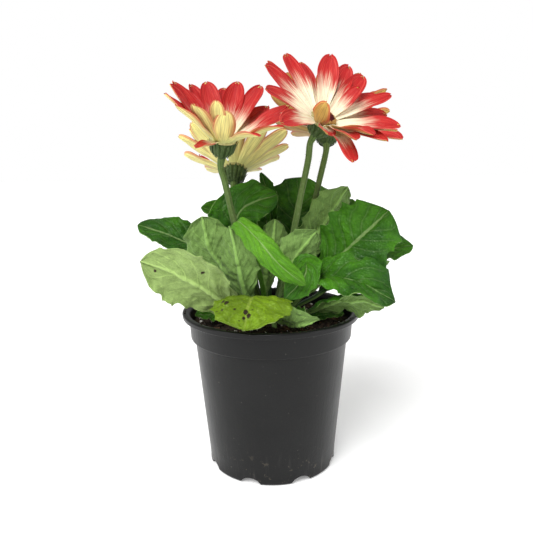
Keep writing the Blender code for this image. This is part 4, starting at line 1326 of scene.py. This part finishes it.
def disc_places(flower, first, last):
    """Matrices for the florets from number first to last of a spiral over the disc."""
    places = []
    for k in range(first, last):
        reach = math.sqrt((k + 0.5) / FLORETS)
        turn = k * GOLDEN_ANGLE
        radius = 6.6 * reach
        height = HEAD_THICK / 2 + 0.4 + 1.9 * (1 - reach ** 2) - 1.2 * (reach < 0.32)
        lean = Matrix.Rotation(turn, 4, "Z") @ Matrix.Rotation(0.62 * reach, 4, "Y")
        size = 0.86 + 0.55 * reach
        spot = Matrix.Translation((radius * math.cos(turn), radius * math.sin(turn), height))
        places.append(placed(head_frame(flower), spot, lean, sized(size, size, size)))
    return places


def bract_piece():
    """One bract, 10 mm long and keeled, lying on the XZ plane with its tip up."""
    obj = sheet_of_cells("bract", 8, 4)
    for vert in obj.data.vertices:
        t = (vert.co.x + 1) / 2
        v = -vert.co.y
        wide = 1.25 * (0.75 + 0.9 * t) * max(1 - t ** 3.2, 0.03)
        vert.co = Vector((0.25 + 0.25 * (1 - v * v) + 0.5 * t ** 3, v * wide, 10.0 * t)) * MM
    thicken(obj, BRACT_THICK, -1.0)
    face_out(obj)
    return obj


def cup_piece(name, flower):
    """The green cup under the head, clad in three rows of bracts."""
    head = head_frame(flower)
    top = -HEAD_THICK / 2 - 0.4
    foot = top - CUP_DEPTH
    profile = [
        (0.4, foot), (SCAPE_RADIUS + 0.1, foot), (SCAPE_RADIUS + 1.0, foot + 0.6),
        (SCAPE_RADIUS + 2.6, foot + 2.2), (HEAD_RADIUS - 2.9, top - 6.6), (HEAD_RADIUS - 1.9, top - 4.0),
        (HEAD_RADIUS - 1.0, top - 1.0), (HEAD_RADIUS - 1.0, top), (0.4, top)]
    cup = turned(f"cup_{name}", profile, 40)
    cup.matrix_world = placed(head)
    settle(cup)
    bract = bract_piece()
    places = []
    draw = random.Random(flower["seed"] + 50)
    for row, (count, radius, low, flare, size) in enumerate(
            ((17, 7.6, -8.6, 0.20, 0.86), (15, 6.0, -10.4, 0.32, 0.84), (13, 4.4, -12.0, 0.42, 0.72))):
        for k in range(count):
            round_cup = 2 * math.pi * (k + 0.5 * row) / count
            turn = Matrix.Rotation(round_cup + draw.uniform(-0.08, 0.08), 4, "Z")
            spot = Matrix.Translation((radius, 0, low))
            lean = Matrix.Rotation(flare + draw.uniform(-0.06, 0.10), 4, "Y")
            tall = size * draw.uniform(0.92, 1.08)
            places.append(placed(head, turn, spot, lean, sized(size, size, tall)))
    bracts = scattered(f"bract_rows_{name}", bract, places)
    return joined(f"calyx_{name}", [cup, bracts])


def scape_line(flower):
    """The stalk's path from its hole in the soil to the cup."""
    head = head_frame(flower)
    depth = HEAD_THICK / 2 + 0.4 + CUP_DEPTH
    near = head @ Vector((0, 0, -depth - 0.1))
    lower = head @ Vector((0, 0, -depth - 7.0))
    return Path(standing(flower["stands"]) + [Vector(p) for p in flower["line"]] + [lower, near])


def sideways(ahead):
    """A level direction across a stalk."""
    return ahead.cross(Vector((0, 1, 0))).normalized()


def ribbed_stalk(name, path):
    """A bare stalk: a sheet rolled round its line, finely ribbed and closed at both ends."""
    stalk = sheet_of_cells(f"stalk_{name}", SCAPE_ALONG, SCAPE_AROUND)
    for vert in stalk.data.vertices:
        share = (vert.co.x + 1) / 2
        turn = math.pi * vert.co.y
        middle, ahead = path.at(share)
        across = sideways(ahead)
        other = across.cross(ahead)
        ribs = 0.07 * math.cos(8 * turn) + 0.05 * math.sin(23 * share + 2 * turn)
        radius = SCAPE_RADIUS * (1.02 - 0.08 * share) + ribs + 0.5 * smooth((share - 0.95) / 0.05)
        vert.co = (middle + (across * math.cos(turn) + other * math.sin(turn)) * radius) * MM
    select_only(stalk)
    bpy.ops.object.mode_set(mode="EDIT")
    bpy.ops.mesh.select_all(action="SELECT")
    bpy.ops.mesh.remove_doubles(threshold=0.000002)
    bpy.ops.mesh.select_all(action="DESELECT")
    bpy.ops.mesh.select_mode(type="EDGE")
    bpy.ops.mesh.select_non_manifold()
    bpy.ops.mesh.fill_holes(sides=0)
    bpy.ops.object.mode_set(mode="OBJECT")
    face_out(stalk)
    return stalk


def short_hair():
    """One stiff hair, 1 mm tall, standing on its root."""
    nothing_selected()
    bpy.ops.mesh.primitive_cone_add(
        vertices=3, radius1=0.07 * MM, radius2=0, depth=1.0 * MM, location=(0, 0, 0.5 * MM))
    return settle(start("hair"))


def scape_piece(name, flower, hairs):
    """A flower's stalk, set all over with short hairs."""
    path = scape_line(flower)
    stalk = ribbed_stalk(name, path)
    hair = short_hair()
    draw = random.Random(flower["seed"] + 90)
    places = []
    for _ in range(hairs):
        share = draw.uniform(0.10, 0.99)
        turn = draw.uniform(0, 2 * math.pi)
        middle, ahead = path.at(share)
        across = sideways(ahead)
        out = (Matrix.Rotation(turn, 3, ahead) @ across + ahead * draw.uniform(-0.2, 0.7)).normalized()
        aim = out.to_track_quat("Z", "Y").to_matrix().to_4x4()
        root = Matrix.Rotation(turn, 3, ahead) @ across * (SCAPE_RADIUS * 0.93)
        tall = sized(1, 1, draw.uniform(0.6, 1.5))
        places.append(placed(Matrix.Translation(middle + root) @ aim, tall))
    fuzz = scattered(f"fuzz_{name}", hair, places)
    return joined(f"hairy_stalk_{name}", [stalk, fuzz])


# The operators, one for each group of pieces


class GERBERA_OT_pot(bpy.types.Operator):
    """Model the pot with its lip, collar and drain notches"""

    bl_idname = "gerbera.pot"
    bl_label = "Pot"

    def execute(self, context):
        settings = context.scene.gerbera_pot
        pot = turned("nursery_pot", pot_profile(), POT_STEPS)
        drain_notches(pot)
        face_out(pot)
        soften(pot, 40)
        coat(pot, "pot_black", pot_plastic(tuple(settings.plastic)))
        finish_piece(pot, "pot", "pot")
        return {"FINISHED"}


class GERBERA_OT_soil(bpy.types.Operator):
    """Fill the pot with soil and strew crumbs, bark and perlite on it"""

    bl_idname = "gerbera.soil"
    bl_label = "Soil"

    def execute(self, context):
        settings = context.scene.gerbera_pot
        peat = tuple(settings.peat)
        soil = soil_sheet()
        soften(soil, 70)
        coat(soil, "peat", crumbly(peat, (0.050, 0.033, 0.022), 320.0))
        finish_piece(soil, "soil", "soil")
        draw = random.Random(21)
        crumbs = scattered("peat_crumbs", broken_stone("crumb", 4), strewn(
            draw, settings.crumbs, 0.5, 2.4, 56.0, 0.15) + on_lip(draw, settings.lip_crumbs))
        coat(crumbs, "peat_crumb", crumbly((0.016, 0.010, 0.007), (0.070, 0.046, 0.030), 500.0))
        finish_piece(crumbs, "soil")
        grains = scattered("perlite_grains", broken_stone("perlite", 9, 0.85), strewn(
            draw, settings.perlite, 0.5, 1.9, 57.0, 0.3))
        coat(grains, "perlite", crumbly((0.55, 0.53, 0.48), (0.85, 0.83, 0.78), 700.0))
        finish_piece(grains, "soil")
        chips = scattered("bark_chips", bark_chip("chip", 5), strewn(
            draw, settings.chips, 1.4, 4.2, 52.0, 0.12))
        coat(chips, "bark", crumbly((0.05, 0.025, 0.012), (0.16, 0.085, 0.045), 260.0))
        finish_piece(chips, "soil")
        return {"FINISHED"}


class GERBERA_OT_leaves(bpy.types.Operator):
    """Model every leaf with its veins, waved edge and stalk"""

    bl_idname = "gerbera.leaves"
    bl_label = "Leaves"

    def execute(self, context):
        settings = context.scene.gerbera_leaves
        deep, bright = tuple(settings.upper), tuple(settings.upper_bright)
        under, pale = tuple(settings.under), tuple(settings.pale)
        vein, young = tuple(settings.vein), tuple(settings.young)
        plain = (
            shaded("leaf_upper", upper_leaf(deep, bright, vein)),
            shaded("leaf_under", under_leaf(under, scaled(under, 1.7))))
        pale_backed = (
            plain[0],
            shaded("leaf_pale_under", under_leaf(pale, scaled(pale, 1.5), UNDERSIDE_MARKS)))
        fresh = (
            shaded("leaf_fresh_upper", upper_leaf(bright, (0.13, 0.36, 0.016), vein)),
            shaded("leaf_fresh_under", under_leaf((0.17, 0.33, 0.07), (0.36, 0.50, 0.16))))
        fading = (
            shaded("leaf_fading_upper", upper_leaf(
                scaled(young, 0.6), young, (0.30, 0.42, 0.06), FADING_MARKS, 0.8)),
            shaded("leaf_fading_under", under_leaf((0.24, 0.36, 0.06), (0.45, 0.55, 0.2))))
        finishes = {
            "leaf_yellowing": (fading, "young_leaf"),
            "leaf_young_tall": (plain, "young_leaf"),
            "leaf_front_rolled": (fresh, "leaf"),
            "leaf_left_low": (pale_backed, "leaf"),
        }
        for k, (name, leaf) in enumerate(LEAVES.items()):
            finish, slot = finishes.get(name, (plain, "leaf"))
            obj = leaf_piece("grown_" + name, leaf, settings.quilt, LEAF_SEED + k, finish)
            finish_piece(obj, slot, name)
        return {"FINISHED"}


class GERBERA_OT_flowers(bpy.types.Operator):
    """Model every flower: stalk, cup, ray petals and disc florets"""

    bl_idname = "gerbera.flowers"
    bl_label = "Flowers"

    def execute(self, context):
        settings = context.scene.gerbera_flowers
        tip, base = tuple(settings.tip), tuple(settings.base)
        inside = shaded("petal_inside", petal_inside(tip, base, 0.42))
        creamy = shaded("petal_inside_creamy", petal_inside(tip, base, 0.54))
        # the pale backs' colour is partly painted light, raised for the light shining through the petals
        pale = shaded("petal_back_pale", petal_back(tuple(settings.back), tip))
        ochre = shaded("petal_back_ochre", petal_back(tuple(settings.ochre), tip))
        stalk = shaded("stalk_green", ribbed_green(
            tuple(settings.stalk), (0.13, 0.20, 0.055), 22.0, 0.65))
        bract = shaded("bract_green", ribbed_green(tuple(settings.bract), (0.080, 0.125, 0.032), 9.0))
        maroon = shaded("floret_maroon", crumbly((0.055, 0.006, 0.008), (0.17, 0.015, 0.014), 900.0, 0.7))
        cream = shaded("floret_cream", crumbly((0.40, 0.20, 0.05), (0.70, 0.45, 0.16), 900.0, 0.7))
        for name, flower in FLOWERS.items():
            back = ochre if name.endswith("right") else pale
            scape = scape_piece(name, flower, settings.hairs)
            scape.data.materials.append(stalk)
            soften(scape, 60)
            finish_piece(scape, "scape", f"scape_{name}")
            cup = cup_piece(name, flower)
            cup.data.materials.append(bract)
            soften(cup, 60)
            finish_piece(cup, "bracts", f"bracts_{name}")
            rays = rays_piece(name, flower, (creamy if name == "front_right" else inside, back))
            finish_piece(rays, "petals", f"petals_{name}")
            middle = scattered(f"buds_{name}", disc_floret(), disc_places(flower, 0, MAROON_FLORETS))
            middle.data.materials.append(maroon)
            outer = scattered(
                f"open_florets_{name}", disc_floret(), disc_places(flower, MAROON_FLORETS, FLORETS))
            outer.data.materials.append(cream)
            florets = joined(f"disc_{name}", [middle, outer])
            soften(florets, 60)
            finish_piece(florets, "florets", f"florets_{name}")
        return {"FINISHED"}


class GERBERA_OT_stage(bpy.types.Operator):
    """Lay the floor and set the light and the camera"""

    bl_idname = "gerbera.stage"
    bl_label = "Stage"

    def execute(self, context):
        settings = context.scene.gerbera_stage
        nothing_selected()
        bpy.ops.mesh.primitive_plane_add(size=8.0)
        floor = start("floor")
        coat(floor, "floor_paper", studio_paper(tuple(settings.floor)))
        sun = bpy.data.lights.new("key", "SUN")
        sun.energy = settings.key_power
        sun.angle = math.radians(SUN_WIDTH)
        add_light(sun, SUN_PLACE)
        for name, side in (("left_panel", -1), ("right_panel", 1)):
            panel = bpy.data.lights.new(name, "AREA")
            panel.shape = "RECTANGLE"
            panel.size, panel.size_y = 0.22, 0.7
            panel.energy = settings.fill_power
            add_light(panel, (0.75 * side, -0.42, 0.40))
        context.scene.world = white_surround(settings.sky)
        camera = bpy.data.cameras.new("photo_camera")
        camera.lens = settings.focal
        camera.sensor_width = 36.0
        seat = bpy.data.objects.new("photo_camera", camera)
        tilt = Matrix.Rotation(math.radians(90 - CAMERA_DOWN), 4, "X")
        turn = Matrix.Rotation(math.radians(CAMERA_TURN), 4, "Z")
        seat.matrix_world = Matrix.Translation(CAMERA_PLACE) @ tilt @ turn
        context.collection.objects.link(seat)
        context.scene.camera = seat
        context.scene.view_settings.view_transform = "Standard"
        return {"FINISHED"}


def add_light(light, place):
    """Hang a light that looks at the plant's middle."""
    seat = bpy.data.objects.new(light.name, light)
    aim = Vector((0, 0, 0.15)) - Vector(place)
    seat.matrix_world = Matrix.Translation(place) @ aim.to_track_quat("-Z", "Y").to_matrix().to_4x4()
    bpy.context.collection.objects.link(seat)


def white_surround(strength):
    """Even light from all round, and a white backdrop."""
    world = bpy.data.worlds.new("white_surround")
    world.use_nodes = True
    tree = world.node_tree
    even = tree.nodes["Background"]
    even.inputs["Color"].default_value = (1, 1, 1, 1)
    even.inputs["Strength"].default_value = strength
    backdrop = add_node(tree, "ShaderNodeBackground", Color=(1, 1, 1, 1), Strength=1.0)
    choice = add_node(tree, "ShaderNodeMixShader")
    wire(tree, add_node(tree, "ShaderNodeLightPath"), "Is Camera Ray", choice, 0)
    wire(tree, even, 0, choice, 1)
    wire(tree, backdrop, 0, choice, 2)
    wire(tree, choice, 0, tree.nodes["World Output"], "Surface")
    return world


class GERBERA_PT_panel(bpy.types.Panel):
    """Everything that builds the potted gerbera"""

    bl_label = "Gerbera"
    bl_idname = "GERBERA_PT_panel"
    bl_space_type = "VIEW_3D"
    bl_region_type = "UI"
    bl_category = "Gerbera"

    def draw(self, context):
        for group, operators in PANEL_ROWS.items():
            box = self.layout.box()
            settings = getattr(context.scene, group)
            for key in settings.__annotations__:
                box.prop(settings, key)
            for operator in operators:
                box.operator(operator)


SETTINGS = {
    "gerbera_pot": GerberaPotSettings,
    "gerbera_leaves": GerberaLeafSettings,
    "gerbera_flowers": GerberaFlowerSettings,
    "gerbera_stage": GerberaStageSettings,
}
PANEL_ROWS = {
    "gerbera_pot": ("gerbera.pot", "gerbera.soil"),
    "gerbera_leaves": ("gerbera.leaves",),
    "gerbera_flowers": ("gerbera.flowers",),
    "gerbera_stage": ("gerbera.stage",),
}
CLASSES = (
    GERBERA_OT_pot, GERBERA_OT_soil, GERBERA_OT_leaves, GERBERA_OT_flowers, GERBERA_OT_stage,
    GERBERA_PT_panel)


def register():
    """Make the settings, operators and panel known."""
    for group, kind in SETTINGS.items():
        bpy.utils.register_class(kind)
        setattr(bpy.types.Scene, group, bpy.props.PointerProperty(type=kind))
    for kind in CLASSES:
        bpy.utils.register_class(kind)


def unregister():
    """Take them away again."""
    for kind in reversed(CLASSES):
        bpy.utils.unregister_class(kind)
    for group, kind in SETTINGS.items():
        delattr(bpy.types.Scene, group)
        bpy.utils.unregister_class(kind)


def main():
    """Build the whole plant."""
    register()
    bpy.ops.gerbera.pot()
    bpy.ops.gerbera.soil()
    bpy.ops.gerbera.leaves()
    bpy.ops.gerbera.flowers()
    bpy.ops.gerbera.stage()


if __name__ == "__main__":
    main()
